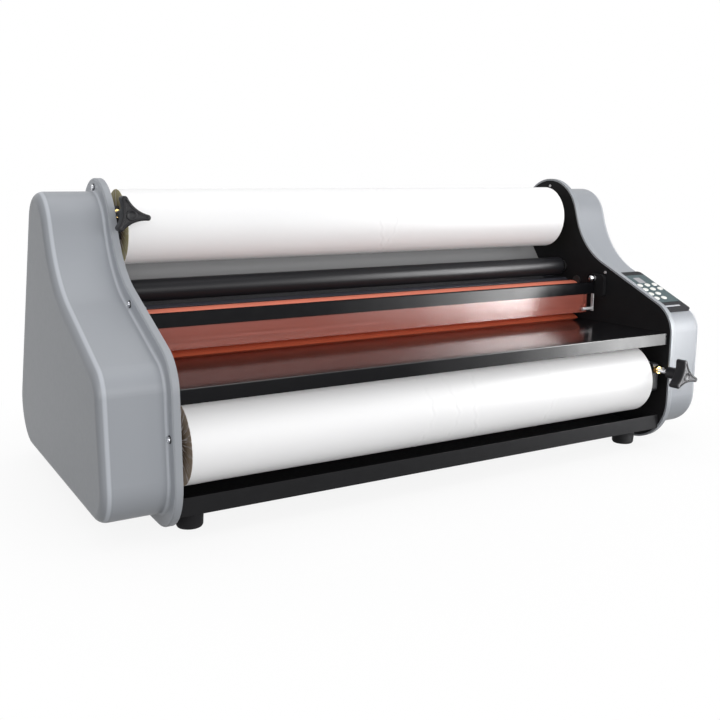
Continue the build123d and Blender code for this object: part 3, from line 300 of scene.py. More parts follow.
class Finish:
    """One material: a Principled shader and the nodes that vary it over the surface."""

    def __init__(self, name, colour, roughness, metallic=0.0, **sockets):
        self.material = bpy.data.materials.new(name)
        self.material.use_nodes = True
        self.tree = self.material.node_tree
        self.shader = self.tree.nodes["Principled BSDF"]
        self.colour = (*colour[:3], 1.0)
        self.set("Base Color", self.colour)
        self.set("Roughness", roughness)
        self.set("Metallic", metallic)
        for socket, value in sockets.items():
            self.set(socket.replace("_", " "), value)
        self.material.diffuse_color = self.colour

    def put(self, place, item):
        """Link a value, a node's first output or a socket, or set a plain default."""
        if isinstance(item, Value):
            self.tree.links.new(item.socket, place)
        elif isinstance(item, bpy.types.NodeSocket):
            self.tree.links.new(item, place)
        else:
            place.default_value = item

    def set(self, socket, item):
        self.put(self.shader.inputs[socket], item)

    def node(self, kind, settings=None, sockets=None):
        """Any other node: its settings first, then the values or links of its sockets."""
        node = self.tree.nodes.new("ShaderNode" + kind)
        for key, value in (settings or {}).items():
            setattr(node, key, value)
        for key, item in (sockets or {}).items():
            self.put(node.inputs[key], item)
        return node

    def place(self, stretch=(1, 1, 1), shift=(0, 0, 0)):
        """Object coordinates, shifted in metres and stretched."""
        coordinates = self.node("TexCoord").outputs["Object"]
        return self.node("Mapping", None, {"Vector": coordinates, "Scale": stretch,
                                           "Location": shift}).outputs[0]

    def axes(self):
        """X, Y and Z in metres."""
        split = self.node("SeparateXYZ", None, {0: self.node("TexCoord").outputs["Object"]})
        return [Value(self.tree, output) for output in split.outputs]

    def noise(self, scale, detail=3.0, rough=0.55, stretch=(1, 1, 1), shift=(0, 0, 0)):
        """Noise between 0 and 1 with about this many features a metre."""
        node = self.node("TexNoise", None, {"Vector": self.place(stretch, shift), "Scale": scale,
                                            "Detail": detail, "Roughness": rough})
        return Value(self.tree, node.outputs[0])

    def spread(self, value, low, high, to_low=0.0, to_high=1.0):
        """Value from one range to another, smooth at both ends."""
        node = self.node("MapRange", {"interpolation_type": "SMOOTHSTEP"},
                         {0: value, 1: low, 2: high, 3: to_low, 4: to_high})
        return Value(self.tree, node.outputs[0])

    def mix(self, factor, first, second):
        """Colour between two colours."""
        node = self.node("Mix", {"data_type": "RGBA"}, {0: factor})
        for place, item in ((6, first), (7, second)):
            linked = isinstance(item, bpy.types.NodeSocket)
            self.put(node.inputs[place], item if linked else (*item[:3], 1))
        return node.outputs[2]

    def mottle(self, amount, scale, stretch=(1, 1, 1)):
        """Base colour a little darker and lighter in soft patches."""
        middle = np.array(self.colour[:3])
        dark, light = tuple(middle * (1 - amount)), tuple(middle * (1 + amount))
        patches = self.spread(self.noise(scale, 3.0, 0.55, stretch), 0.3, 0.7)
        self.set("Base Color", self.mix(patches, dark, light))

    def gloss(self, low, high, scale, stretch=(1, 1, 1)):
        """Roughness that wanders between two values."""
        self.set("Roughness", self.spread(self.noise(scale, 4.0, 0.6, stretch), 0.3, 0.7, low, high))

    def relief(self, height, depth, strength=1.0):
        """Bump of this depth in metres."""
        bump = self.node("Bump", None, {"Height": height, "Distance": depth, "Strength": strength})
        self.set("Normal", bump.outputs[0])

    def grained(self, mottle=None, gloss=None, grain=None, depth=0.0, strength=0.5):
        """Material whose colour, roughness and height wander, each where its noise is given."""
        if mottle:
            self.mottle(*mottle)
        if gloss:
            self.gloss(*gloss)
        if grain:
            self.relief(self.noise(*grain), depth, strength)
        return self.material


def moulded_grey(name, colour):
    """Structural foam cover: satin grey with a fine even grain, and paler along its edges.

    The pale bands are painted highlights, where light catches the rounded edges. They lie by their
    distance from the middle: the flange's rim, its root and the outer corner. Each fades within a few
    millimetres.
    """
    flange_root, outer_corner = 0.3722, 0.4338
    skin = Finish(name, colour, 0.42, Specular_IOR_Level=0.11, Coat_Weight=0.1, Coat_Roughness=0.2)
    aside = abs(skin.axes()[0])
    # Painted highlights: pale bands on the flange's rim, at its root and along the outer corner.
    rim = skin.spread(aside, 0.3692, 0.3698) * (1 - skin.spread(aside, 0.3705, 0.3740))
    root = skin.spread(abs(aside - flange_root), 0.0006, 0.0016, 1.0, 0.0)
    corner = skin.spread(abs(aside - outer_corner), 0.0010, 0.0030, 1.0, 0.0)
    pale = tuple(np.minimum(np.array(colour[:3]) * 1.7, 1))
    skin.set("Base Color", skin.mix(rim * 0.55 + root * 0.45 + corner * 0.75, colour, pale))
    return skin.grained(None, (0.4, 0.45, 160), (1300, 2.0, 0.5), 0.00003, 0.5)


def powder_coat(name, colour):
    """Powder coated steel: low orange peel and small glints."""
    skin = Finish(name, colour, 0.5, Specular_IOR_Level=0.07)
    return skin.grained((0.06, 60), (0.45, 0.55, 220), (900, 3.0, 0.6), 0.00006, 0.6)


def hood_coat(name, colour):
    """Satin grey paint, smooth and nearly black on the low shelf under the film idler."""
    shelf_top, shelf_back = 0.2312, 0.07
    skin = Finish(name, colour, 0.45, Specular_IOR_Level=0.15)
    y, z = skin.axes()[1:]
    shelf = (z < shelf_top) * (y < shelf_back)
    skin.set("Base Color", skin.mix(shelf, colour, (0.042, 0.042, 0.052)))
    skin.set("Roughness", 0.45 - shelf * 0.2)
    return skin.grained(None, None, (900, 3.0, 0.6), 0.00003, 0.5)


def silicone(name, colour):
    """Silicone rubber sleeve, ground along its turning, a little darker towards both ends as painted
    shade.
    """
    skin = Finish(name, colour, 0.38, Specular_IOR_Level=0.25)
    # Painted shade: darker towards both ends, where the side plates shade the sleeve, and a little paler
    # in the middle.
    ends = skin.spread(abs(skin.axes()[0]), 0.300, 0.350, 0.0, 0.5)
    dark = tuple(np.array(colour[:3]) * 0.82)
    light = tuple(np.minimum(np.array(colour[:3]) * 1.06, 1))
    skin.set("Base Color", skin.mix(ends, light, dark))
    return skin.grained(None, (0.3, 0.46, 40, (6, 1, 1)), (300, 3.0, 0.6, (8, 1, 1)), 0.00003, 0.4)


def soft_rubber(name, colour):
    """Moulded or ground black rubber."""
    skin = Finish(name, colour, 0.68, Specular_IOR_Level=0.12)
    return skin.grained((0.2, 40), None, (900, 3.0, 0.6), 0.00005, 0.6)


def turned_metal(name, colour, roughness, lines=(1, 1, 1), metallic=1.0):
    """Machined or plated metal with fine tool lines across the given stretch."""
    skin = Finish(name, colour, roughness, metallic)
    return skin.grained((0.06, 60, lines), (roughness - 0.07, roughness + 0.08, 120, lines),
                        (700, 2.0, 0.5, lines), 0.000015, 0.5)


def wound_film(name, colour, end_colour, core_colour, centre, radius, bore, ends):
    """Clear film wound so deep that it is white, with the edges of its layers on both ends.

    On the ends the colour goes from the core's to the film's with the radius, in fine rings, and pale
    rays from a noise over the angle cross them. A faint glow is painted light: it stands for the light
    inside the film and lifts the shaded underside and ends.
    """
    layer_pitch, end_depth = 0.0011, 0.35
    skin = Finish(name, colour, 0.4, Specular_IOR_Level=0.1, Emission_Strength=1.0)
    x, y, z = skin.axes()
    across, up = y - centre[0] * MM, z - centre[1] * MM
    distance = (across * across + up * up).root()
    angle = across.math("ARCTAN2", up, across)
    polar = skin.node("CombineXYZ", None, {0: angle * 0.9, 1: distance * 2.5, 2: 0.0}).outputs[0]
    noise = skin.node("TexNoise", None, {"Vector": polar, "Scale": 9.0, "Detail": 2.0, "Roughness": 0.6})
    rays = Value(skin.tree, noise.outputs[0])
    rings = (distance * (2 * np.pi / layer_pitch)).sine() * 0.5 + 0.5
    layers = skin.spread(distance, bore * MM, radius * MM)
    wound = skin.mix(layers, core_colour, end_colour)
    rayed = skin.mix(skin.spread(rays, 0.5, 0.66, 0.0, 0.7), wound, (0.66, 0.62, 0.64))
    ringed = skin.mix(rings * 0.18, rayed, tuple(np.array(core_colour) * 0.7))
    end = (x < (ends[0] + end_depth) * MM) + (x > (ends[1] - end_depth) * MM)
    clouds = skin.spread(skin.noise(7, 2.0, 0.5), 0.35, 0.7)
    body = skin.mix(clouds, tuple(np.array(colour[:3]) * 0.985), colour)
    skin.set("Base Color", skin.mix(end, body, ringed))
    # Painted light: the body and the ends glow faintly, which lifts them out of their shade.
    end_painted_glow = skin.mix(0.3, (0, 0, 0), ringed)
    skin.set("Emission Color", skin.mix(end, (0.1, 0.098, 0.098), end_painted_glow))
    uneven = skin.spread(skin.noise(25, 3.0, 0.6, (1, 4, 4)), 0.3, 0.7, 0.36, 0.46)
    skin.set("Roughness", uneven + end * 0.2)
    crinkle = skin.noise(26, 3.0, 0.5, (0.7, 2.2, 2.2), (0.3, 0.1, 0.2))
    skin.relief(crinkle * (1 - end) * 0.4 + rings * end, 0.00025, 0.35)
    return skin.material


def cardboard(name, colour):
    """Spiral-wound card of a film core."""
    skin = Finish(name, colour, 0.8)
    return skin.grained((0.2, 180, (0.2, 1, 1)), None, (900, 4.0, 0.65), 0.00008, 0.6)


def gloss_tube(name, colour):
    """Black anodised aluminium tube of a film idler, drawn along its length."""
    skin = Finish(name, colour, 0.38, Specular_IOR_Level=0.15)
    return skin.grained((0.1, 40, (0.1, 1, 1)), (0.35, 0.41, 90, (0.1, 1, 1)),
                        (500, 3.0, 0.6, (0.05, 1, 1)), 0.00001, 0.4)


def table_coat(name, colour):
    """Smooth black enamel of the feed table, with a clear coat on its top face, found by height."""
    top_low, top_high = 0.168, 0.170
    skin = Finish(name, colour, 0.2, Specular_IOR_Level=0.09, Coat_Roughness=0.12)
    z = skin.axes()[2]
    skin.set("Coat Weight", (z > top_low) * (z < top_high) * 0.75)
    return skin.grained(None, (0.17, 0.23, 60, (1, 3, 1)), (900, 2.0, 0.5), 0.000006, 0.4)


def smoked_acrylic(name, colour, clarity):
    """Reddish see-through sheet with a polished face and faint drawing lines."""
    skin = Finish(name, colour, 0.2, Specular_IOR_Level=0.35)
    streaks = skin.noise(220, 4.0, 0.7, (0.012, 1, 1))
    skin.set("Alpha", skin.spread(streaks, 0.3, 0.7, 1 - clarity, 1 - clarity + 0.05))
    pale = tuple(np.minimum(np.array(colour[:3]) * 1.3 + 0.02, 1))
    skin.set("Base Color", skin.mix(skin.spread(streaks, 0.4, 0.7), colour, pale))
    return skin.grained(None, (0.18, 0.21, 60, (0.02, 1, 1)))


def black_moulding(name, colour=(0.014, 0.014, 0.016), roughness=0.44, gloss=0.18):
    """Glass-filled black plastic of knobs, blocks and bezel."""
    skin = Finish(name, colour, roughness, Specular_IOR_Level=gloss)
    return skin.grained((0.12, 60), (roughness - 0.05, roughness + 0.06, 150), (1000, 2.0, 0.5),
                        0.00006, 0.7)


def printed_film(name, colour):
    """Keypad overlay: matt print behind a clear textured film."""
    skin = Finish(name, colour, 0.36, Specular_IOR_Level=0.15)
    return skin.grained((0.05, 50), None, (1400, 2.0, 0.5), 0.00002, 0.5)


def key_plastic(name, colour):
    """Off-white key caps with a fine grain."""
    skin = Finish(name, colour, 0.36)
    return skin.grained((0.03, 200), (0.3, 0.42, 250), (1500, 2.0, 0.5), 0.00002, 0.4)


def circuit_board(name, colour):
    """Green solder mask with lighter traces along the edges of square cells."""
    skin = Finish(name, colour, 0.4)
    traces = skin.node("TexVoronoi", {"feature": "DISTANCE_TO_EDGE", "distance": "MANHATTAN"},
                       {"Vector": skin.place(), "Scale": 160.0})
    edge = Value(skin.tree, traces.outputs[0])
    lighter = tuple(np.minimum(np.array(colour[:3]) * 2.2, 1))
    skin.set("Base Color", skin.mix(edge < 0.06, colour, lighter))
    skin.relief(edge < 0.06, 0.00004, 0.5)
    return skin.material


def plain_nylon(name, colour):
    """Natural nylon of gears and bushes."""
    skin = Finish(name, colour, 0.45)
    return skin.grained((0.05, 70), None, (700, 2.0, 0.5), 0.00003, 0.4)


def pivot_plates(name, colour):
    """Black plates of the shield's hinge, and the bright bolts through them, found by their radius."""
    bolt_radius = 0.0043
    skin = Finish(name, colour, 0.45, Specular_IOR_Level=0.07)
    y, z = skin.axes()[1:]
    joints = frame["record"]["behaviour"]["joints"]
    pivot = next(joint["pos_m"] for joint in joints if joint["name"] == "shield_tilt")
    across, up = y - pivot[1], z - pivot[2]
    bolt = (across * across + up * up).root() < bolt_radius
    skin.set("Base Color", skin.mix(bolt, colour, (0.5, 0.5, 0.51)))
    skin.set("Metallic", bolt)
    skin.set("Roughness", 0.45 - bolt * 0.12)
    return skin.grained(None, None, (900, 3.0, 0.6), 0.00004, 0.5)


def display_glass(name, colour):
    """Grey-lilac liquid crystal behind a clear window."""
    skin = Finish(name, colour, 0.12, Coat_Weight=0.6, Coat_Roughness=0.03)
    return skin.grained((0.08, 90))


# Settings a user would change


def colour_setting(name, description, default):
    """Colour that a user may change."""
    return bpy.props.FloatVectorProperty(name=name, description=description, subtype="COLOR", min=0,
                                         max=1, default=default)


class LaminatorColours(bpy.types.PropertyGroup):
    """Colours of the visible finishes."""
    cover: colour_setting("Covers", "Moulded side covers", (0.305, 0.32, 0.345))
    hood: colour_setting("Hood", "Painted rear hood", (0.25, 0.25, 0.253))
    steel_black: colour_setting("Black coat", "Powder coat of plates and pan", (0.012, 0.012, 0.013))
    silicone: colour_setting("Silicone", "Sleeves of the heated rollers", (0.68, 0.145, 0.07))
    film: colour_setting("Film", "Wound film seen from outside", (0.76, 0.76, 0.765))
    window: colour_setting("Window", "See-through heat shield", (0.27, 0.07, 0.05))
    keypad: colour_setting("Keypad", "Keypad overlay", (0.05, 0.08, 0.087))
    keys: colour_setting("Keys", "Key caps", (0.72, 0.72, 0.69))


class LaminatorSizes(bpy.types.PropertyGroup):
    """Sizes of the details that only the looks have."""
    wrinkle: bpy.props.FloatProperty(
        name="Film wrinkle", description="Depth of the soft folds in the wound film", unit="LENGTH",
        default=0.00018, min=0, max=0.002, precision=5)
    sheet_edge: bpy.props.FloatProperty(
        name="Sheet edge", description="Rounding of cut sheet edges", unit="LENGTH",
        default=0.0004, min=0.0001, max=0.0007, precision=5)
    knob_edge: bpy.props.FloatProperty(
        name="Knob edge", description="Rounding round the front of the knobs", unit="LENGTH",
        default=0.0024, min=0.0005, max=0.003, precision=4)
    window_clarity: bpy.props.FloatProperty(
        name="Window clarity", description="Share of light that passes the heat shield",
        subtype="FACTOR", default=0.42, min=0, max=1)
    floor_shade: bpy.props.FloatProperty(
        name="Floor shade", description="How much of the object's shadow the white floor keeps",
        subtype="FACTOR", default=0.12, min=0, max=1)


def colours():
    return bpy.context.scene.laminator_colours


def sizes():
    return bpy.context.scene.laminator_sizes


def slot_finishes():
    """One finish for each material slot of the record."""
    tint = colours()
    return {
        "black_steel": powder_coat("Powder coat black", tint.steel_black),
        "cover_grey": moulded_grey("Moulded grey", tint.cover),
        "hood_grey": hood_coat("Hood grey", tint.hood),
        "orange_silicone": silicone("Silicone orange", tint.silicone),
        "black_rubber": soft_rubber("Black rubber", (0.01, 0.01, 0.011)),
        "steel": turned_metal("Turned steel", (0.55, 0.55, 0.56), 0.28),
        "zinc": turned_metal("Zinc plate", (0.62, 0.63, 0.66), 0.27),
        "brass": turned_metal("Brass", (0.78, 0.55, 0.22), 0.22),
        "film": plain_nylon("Film plain", tint.film),
        "card": cardboard("Core card", (0.13, 0.075, 0.035)),
        "black_tube": gloss_tube("Black tube", (0.01, 0.01, 0.012)),
        "table_black": table_coat("Table black", (0.005, 0.005, 0.006)),
        "smoked": smoked_acrylic("Smoked window", tint.window, sizes().window_clarity),
        "black_plastic": black_moulding("Black moulding"),
        "keypad_blue": printed_film("Keypad print", tint.keypad),
        "key_white": key_plastic("Key white", tint.keys),
        "gear_nylon": plain_nylon("Gear nylon", (0.62, 0.6, 0.53)),
        "board_green": circuit_board("Circuit board", (0.012, 0.1, 0.035)),
        "aluminium": turned_metal("Aluminium", (0.7, 0.7, 0.71), 0.32, (0.1, 1, 1)),
        # Lit and shaded copies of one silicone: the upper sleeve's finish is paler, a painted highlight,
        # and the lower one's darker, a painted shade.
        "upper_silicone": silicone("Silicone upper painted highlight", [0.92 * part + 0.06 for part in tint.silicone]),
        "lower_silicone": silicone("Silicone lower painted shade", [0.62 * part for part in tint.silicone]),
        "black_bearing": plain_nylon("Bearing black", (0.02, 0.02, 0.021)),
        "pivot": pivot_plates("Shield pivots", tint.steel_black),
        "satin_zinc": turned_metal("Satin zinc", (0.5, 0.5, 0.51), 0.4, metallic=0.4),
        "bezel": black_moulding("Bezel", roughness=0.5, gloss=0.08),
    }


# Filled by the first operator, once the colours are known.
FINISHES = {}
# Nodes whose finish isn't the plain one of their slot.
OWN_FINISH = {"shaft_bearings": "black_bearing", "shield_pivots": "pivot", "shield_strips": "satin_zinc",
              "shield_bar": "table_black", "control_bezel": "bezel"}


def dress(piece, node):
    """Give every material place of a piece the finish of a CAD node."""
    for place in piece.material_slots:
        place.material = FINISHES[OWN_FINISH.get(node, SLOTS[node])]


class LAMINATOR_OT_finishes(bpy.types.Operator):
    """Give every CAD node the finish of its material slot"""
    bl_idname = "laminator.finishes"
    bl_label = "Finishes"

    def execute(self, context):
        FINISHES.update(slot_finishes())
        for name, node in frame["nodes"].items():
            dress(node, name)
        return {"FINISHED"}


class LAMINATOR_OT_film_rolls(bpy.types.Operator):
    """Wind the upper and lower supply roll"""
    bl_idname = "laminator.film_rolls"
    bl_label = "Film rolls"

    def execute(self, context):
        depth, crease_reach = sizes().wrinkle / MM, 14
        tint = colours().film
        for side, end_colour, creases in (("upper", (0.42, 0.38, 0.22), (8, 24)),
                                          ("lower", (0.3, 0.24, 0.19), (-45, -8, 27, 150))):
            centre, radius, left, right = round_box(side + "_film_roll")
            bore = round_box(side + "_film_core")[1]
            inner = radius - 8
            round_off = rounded([(left, inner, 0), (left, radius, 0.6), (right, radius, 0.6),
                                 (right, inner, 0)], steps=4)
            spans = [np.linspace(left + 2, right - 2, 120)]
            spans += [np.linspace(place - crease_reach, place + crease_reach, 40) for place in creases]
            steps = np.unique(np.concatenate(spans))
            half = len(round_off) // 2
            outer = np.vstack([round_off[1:half], np.stack([steps, np.full(len(steps), radius)], 1),
                               round_off[half:-1]])
            rings = np.linspace(bore + 0.02, radius - 1.2, 18)
            uneven = 0.12 * np.sin(rings * 1.9) + 0.08 * np.sin(rings * 4.3 + 1)
            uneven[[0, -1]] = 0
            face_left = np.stack([left + 0.15 + uneven, rings], 1)
            face_right = np.stack([right - 0.15 - uneven, rings[::-1]], 1)
            profile = np.vstack([face_left, outer, face_right])

            def folds(along, angle, right=right, left=left, creases=creases):
                """Height of the film: slow waves along and round the roll, and at each crease a valley
                with a lower, wider ridge beside it, along a wavy line. All fade out at the ends."""
                middle = np.clip((right - np.abs(along)) / 30, 0, 1) * np.clip(
                    (along - left) / 20, 0, 1) * np.clip((right - along) / 20, 0, 1)
                slow = np.sin(along * 0.021 + 2 * np.sin(angle)) * np.sin(2 * angle + along * 0.006)
                fold = 0
                for place in creases:
                    path = along - place - 5 * np.sin(angle * 3 + place)
                    path = path - 1.5 * np.sin(angle * 17 + place)
                    fold = fold - np.exp(-(path / 1.6) ** 2) * (0.7 + 0.3 * np.sin(9 * angle))
                    fold = fold + 0.7 * np.exp(-((path - 4.0) / 2.2) ** 2)
                return depth * middle * (0.4 * slow + 1.6 * fold - 1.4)

            name = side + "_wound_film"
            finish = wound_film(name.replace("_", " "), tint, end_colour, (0.05, 0.03, 0.015), centre,
                                radius, bore, (left, right))
            roll = turned(name, profile, centre, sides=192, change=folds, cyclic=True)
            fitted(roll, side + "_supply", finish, side + "_film_roll")
        return {"FINISHED"}


class LAMINATOR_OT_rollers(bpy.types.Operator):
    """Turn the sleeves of the heated rollers and the tubes of the film idlers"""
    bl_idname = "laminator.rollers"
    bl_label = "Rollers"

    def execute(self, context):
        sleeve_wall = 3.8
        face, collar, pin = 352.0, 7, 5
        for side in ("upper", "lower"):
            centre, radius, left, right = round_box(side + "_heat_sleeve")
            inner = radius - sleeve_wall
            loop = rounded([(left, inner, 0.4), (left, radius, 0.9), (right, radius, 0.9),
                            (right, inner, 0.4)], closed=True, steps=5)
            sleeve = turned(side + "_silicone_sleeve", loop, centre, sides=144, cyclic=True)
            fitted(sleeve, side + "_heat_roller", FINISHES[side + "_silicone"], side + "_heat_sleeve")
            centre, radius, left, right = round_box(side + "_idler")
            profile = rounded([(left, 0.5, 0), (left, pin, 0.8), (-face - 1.5, pin, 0),
                               (-face - 1.5, collar, 0.3), (-face, collar, 0), (-face, radius, 1.2),
                               (face, radius, 1.2), (face, collar, 0), (face + 1.5, collar, 0.3),
                               (face + 1.5, pin, 0), (right, pin, 0.8), (right, 0.5, 0)], steps=5)
            tube = turned(side + "_idler_tube", profile, centre, sides=96)
            fitted(tube, side + "_idler", FINISHES["black_tube"], side + "_idler")
        return {"FINISHED"}


class LAMINATOR_OT_sheet_metal(bpy.types.Operator):
    """Round the edges of the pan, the hood, the rear panel, the table and the shield's bar"""
    bl_idname = "laminator.sheet_metal"
    bl_label = "Sheet metal"

    def execute(self, context):
        edge = sizes().sheet_edge / MM
        for node, body in (("base_pan", "frame"), ("rear_hood", "frame"), ("rear_panel", "frame"),
                           ("feed_table", "feed_table"), ("shield_strips", "heat_shield"),
                           ("shield_bar", "heat_shield"), ("left_side_plate", "frame"),
                           ("right_side_plate", "frame")):
            dress(softened(node + "_finished", node, edge, body), node)
        return {"FINISHED"}


class LAMINATOR_OT_brake_knobs(bpy.types.Operator):
    """Mould the three-lobed knobs, cut the thread of their studs and form the brass bushes"""
    bl_idname = "laminator.brake_knobs"
    bl_label = "Brake knobs"

    def execute(self, context):
        for side, turn in (("upper", 110.0), ("lower", 100.0)):
            low, high = box_of(side + "_tension_stud")
            x, z = (low[0] + high[0]) / 2, (low[2] + high[2]) / 2
            knob_low, knob_high = box_of(side + "_tension_knob")
            front, rear = knob_low[1], knob_high[1]
            knob = lobed_knob(side + "_knob", (x, z), front, rear, np.radians(turn))
            fitted(knob, side + "_knob", FINISHES["black_plastic"], side + "_tension_knob")
            bush_low, bush_high = box_of(side + "_brake_bush")
            bush = hexagon_bush(side + "_bush", (x, z), bush_low[1], bush_high[1], flat_half=5.0,
                                bore=3.1)
            fitted(bush, side + "_brake_bush", FINISHES["brass"], side + "_brake_bush")
            stud = threaded_stud(side + "_stud", (x, z), low[1], high[1], radius=2.98, pitch=1.0)
            fitted(stud, side + "_knob", FINISHES["zinc"], side + "_tension_stud")
        return {"FINISHED"}


def lobe_outline(turn, reach=23.0, tip=3.5, waist=9.5, steps=14):
    """Closed loop of three round tips joined by hollow arcs, with no doubled points.

    The hollow arcs touch the tips and come as near to the middle as the waist, which gives their radius.
    """
    middle = reach - tip
    hollow = (middle ** 2 + waist ** 2 - tip ** 2 - middle * waist) / (middle - 2 * waist + 2 * tip)
    centre = waist + hollow
    runs = []
    for lobe in range(3):
        angle = turn + lobe * 2 * np.pi / 3
        tip_middle = middle * np.array([np.cos(angle), np.sin(angle)])
        after = centre * np.array([np.cos(angle + np.pi / 3), np.sin(angle + np.pi / 3)])
        toward_tip = tip_middle - after
        join = np.arctan2(toward_tip[1], toward_tip[0])
        spread = (join + np.pi - angle + np.pi) % (2 * np.pi) - np.pi
        around = angle + spread * np.linspace(-1, 1, steps + 1)
        runs.append(tip_middle + tip * np.stack([np.cos(around), np.sin(around)], 1))
        swing = (join - (angle + np.pi / 3 + np.pi) + np.pi) % (2 * np.pi) - np.pi
        back = angle + np.pi / 3 + np.pi + swing * np.linspace(1, -1, 2 * steps + 1)[1:-1]
        runs.append(after + hollow * np.stack([np.cos(back), np.sin(back)], 1))
    return np.vstack(runs)


def lobed_knob(name, centre, front, rear, turn):
    """Knob along Y: rounded lobes with a sunk face and a round cap, then a hub behind them.

    Its rings run from the middle of the cap out over the sunk face, round the edge by a quarter circle,
    back along the lobes and down the hub. Each is a circle, or the outline scaled or moved in.
    """
    outline = lobe_outline(turn)
    normals = outward(outline)
    edge = sizes().knob_edge / MM
    rim = outline - edge * normals
    angles = np.arctan2(outline[:, 1], outline[:, 0])
    round_loop = np.stack([np.cos(angles), np.sin(angles)], 1)
    hub = rear - 17.5
    bend = np.linspace(0, np.pi / 2, 6)
    cap = ((1.0, 0.9), (3.9, 0.9), (4.2, 0.6), (4.6, 0.2), (5.9, 0.3), (6.3, 0.5), (6.6, 1.1))
    face = ((0.7, 1.1), (0.86, 1.0), (0.89, 0.5), (0.93, 0), (0.97, 0))
    lobes = [*zip(edge * (np.sin(bend) - 1), front + edge * (1 - np.cos(bend))),
             (0, hub - 1.2), (-0.35, hub - 0.35), (-1.2, hub)]
    back = ((8.6, hub), (8.15, hub + 0.25), (8.0, hub + 0.8), (8.0, rear - 1.0), (7.7, rear - 0.3),
            (7.0, rear), (3.2, rear))
    rings = [(round_loop * radius, front + depth) for radius, depth in cap]
    rings += [(rim * share, front + depth) for share, depth in face]
    rings += [(outline + out * normals, height) for out, height in lobes]
    rings += [(round_loop * radius, height) for radius, height in back]
    loops = np.array([ring for ring, height in rings]) + np.array(centre)
    levels = np.array([height for ring, height in rings])
    points = placed(loops, levels[:, None], "y")
    return pieces_mesh(name, points, ring_faces(len(loops), len(outline)), crease=50)


def hexagon_bush(name, centre, front, rear, flat_half, bore):
    """Hexagonal bush round a stud: chamfered flats outside, a bore inside, one closed tube."""
    count = 96
    angles = np.arange(count) * 2 * np.pi / count
    sector = (angles + np.pi / 6) % (np.pi / 3) - np.pi / 6
    flats = np.minimum(flat_half / np.cos(sector), flat_half * 1.12)
    unit = unit_circle(count)
    round_face = np.full(count, flat_half)
    loops, levels = [], []
    for radii, level in ((np.full(count, bore), front), (round_face * 0.8, front), (round_face, front),
                         (flats, front + 0.6), (flats, rear - 0.6), (round_face, rear),
                         (round_face * 0.8, rear), (np.full(count, bore), rear)):
        loops.append(unit * radii[:, None] + np.array(centre))
        levels.append(level)
    points = placed(np.array(loops), np.array(levels)[:, None], "y")
    return pieces_mesh(name, points, ring_faces(len(loops), count, cyclic=True), crease=25)


def threaded_stud(name, centre, front, rear, radius, pitch):
    """Stud along Y whose radius falls and rises once a pitch, turning with the angle."""
    steps = np.linspace(front + 0.4, rear - 0.4, int((rear - front) / pitch * 6))
    profile = np.vstack([[(front, radius - 0.9)], np.stack([steps, np.full(len(steps), radius)], 1),
                         [(rear, radius - 0.9)]])

    def thread(along, angle):
        """Depth of the groove: a triangle wave of the place along the stud and the turn round it."""
        phase = (along / pitch + angle / (2 * np.pi)) % 1.0
        ends = (np.abs(along - front) > 0.3) & (np.abs(along - rear) > 0.3)
        return -0.3 * (1 - np.abs(2 * phase - 1)) * ends

    return turned(name, profile, centre, "y", sides=32, change=thread, crease=80)


class LAMINATOR_OT_fasteners(bpy.types.Operator):
    """Make the pan head screws of the covers, with cross recesses and dark washers"""
    bl_idname = "laminator.fasteners"
    bl_label = "Fasteners"

    def execute(self, context):
        places = screw_places()
        cover_face, washer_face = 370.0, 370.6
        heads = pan_heads("cover_screw_heads", places, washer_face, radius=3.3, height=2.3)
        fitted(heads, "frame", FINISHES["zinc"], "cover_screws")
        washers = discs("cover_washers", places, cover_face, washer_face, radius=4.6)
        fitted(washers, "frame", FINISHES["black_plastic"], slot="black_plastic")
        tips = discs("cover_screw_tips", places, 359.5, 369.9, radius=2.0)
        fitted(tips, "frame", FINISHES["satin_zinc"], slot="zinc")
        return {"FINISHED"}


def screw_places():
    """Middles (y, z) of the cover screws on the right side, read off the CAD node's washers."""
    mesh = frame["nodes"]["cover_screws"].data
    points = np.empty(len(mesh.vertices) * 3)
    mesh.vertices.foreach_get("co", points)
    points = points.reshape(-1, 3) / MM
    outer = points[points[:, 0] > 370.5][:, 1:]
    middles = []
    while len(outer):
        near = np.hypot(*(outer - outer[0]).T) < 12
        group = outer[near]
        middles.append((group.min(0) + group.max(0)) / 2)
        outer = outer[~near]
    return np.array(middles)


def pan_heads(name, places, base, radius, height):
    """Pan heads on both sides: a dome over a polar grid, less a cross-shaped dip in its middle.

    The dome falls with the square of the radius, and its rim drops steeply to the washer.
    """
    angles = np.arange(48) * 2 * np.pi / 48
    share = np.array([0.05, 0.12, 0.2, 0.28, 0.36, 0.44, 0.52, 0.62, 0.74, 0.85, 0.93, 0.98, 1.0])
    r, a = np.meshgrid(share, angles, indexing="ij")
    dome = height * (1 - 0.28 * r ** 2) * np.clip((1.0 - r) / 0.02, 0, 1) ** 0.35
    dome = np.where(r > 0.985, 0.35 * height, dome)
    across = np.minimum(np.abs(r * np.sin(a)), np.abs(r * np.cos(a)))
    along = np.maximum(np.abs(r * np.sin(a)), np.abs(r * np.cos(a)))
    cross = np.clip((0.13 - across) / 0.06, 0, 1) * np.clip((0.56 - along) / 0.08, 0, 1)
    level = dome - 1.2 * cross
    plane = np.stack([radius * r * np.cos(a), radius * r * np.sin(a)], -1)
    rings = np.concatenate([plane, plane[-1:]])
    levels = np.concatenate([level, np.zeros_like(level[-1:])])
    sides = []
    for sign in (1, -1):
        flat = places[:, None, None, :] + rings[None]
        height_along = np.broadcast_to(sign * (base + levels), (len(places), *levels.shape))
        sides.append(placed(flat, height_along, "x"))
    points = np.concatenate(sides).reshape(-1, 3)
    faces = ring_faces(len(rings), 48, copies=2 * len(places))
    return pieces_mesh(name, points, faces, crease=40)


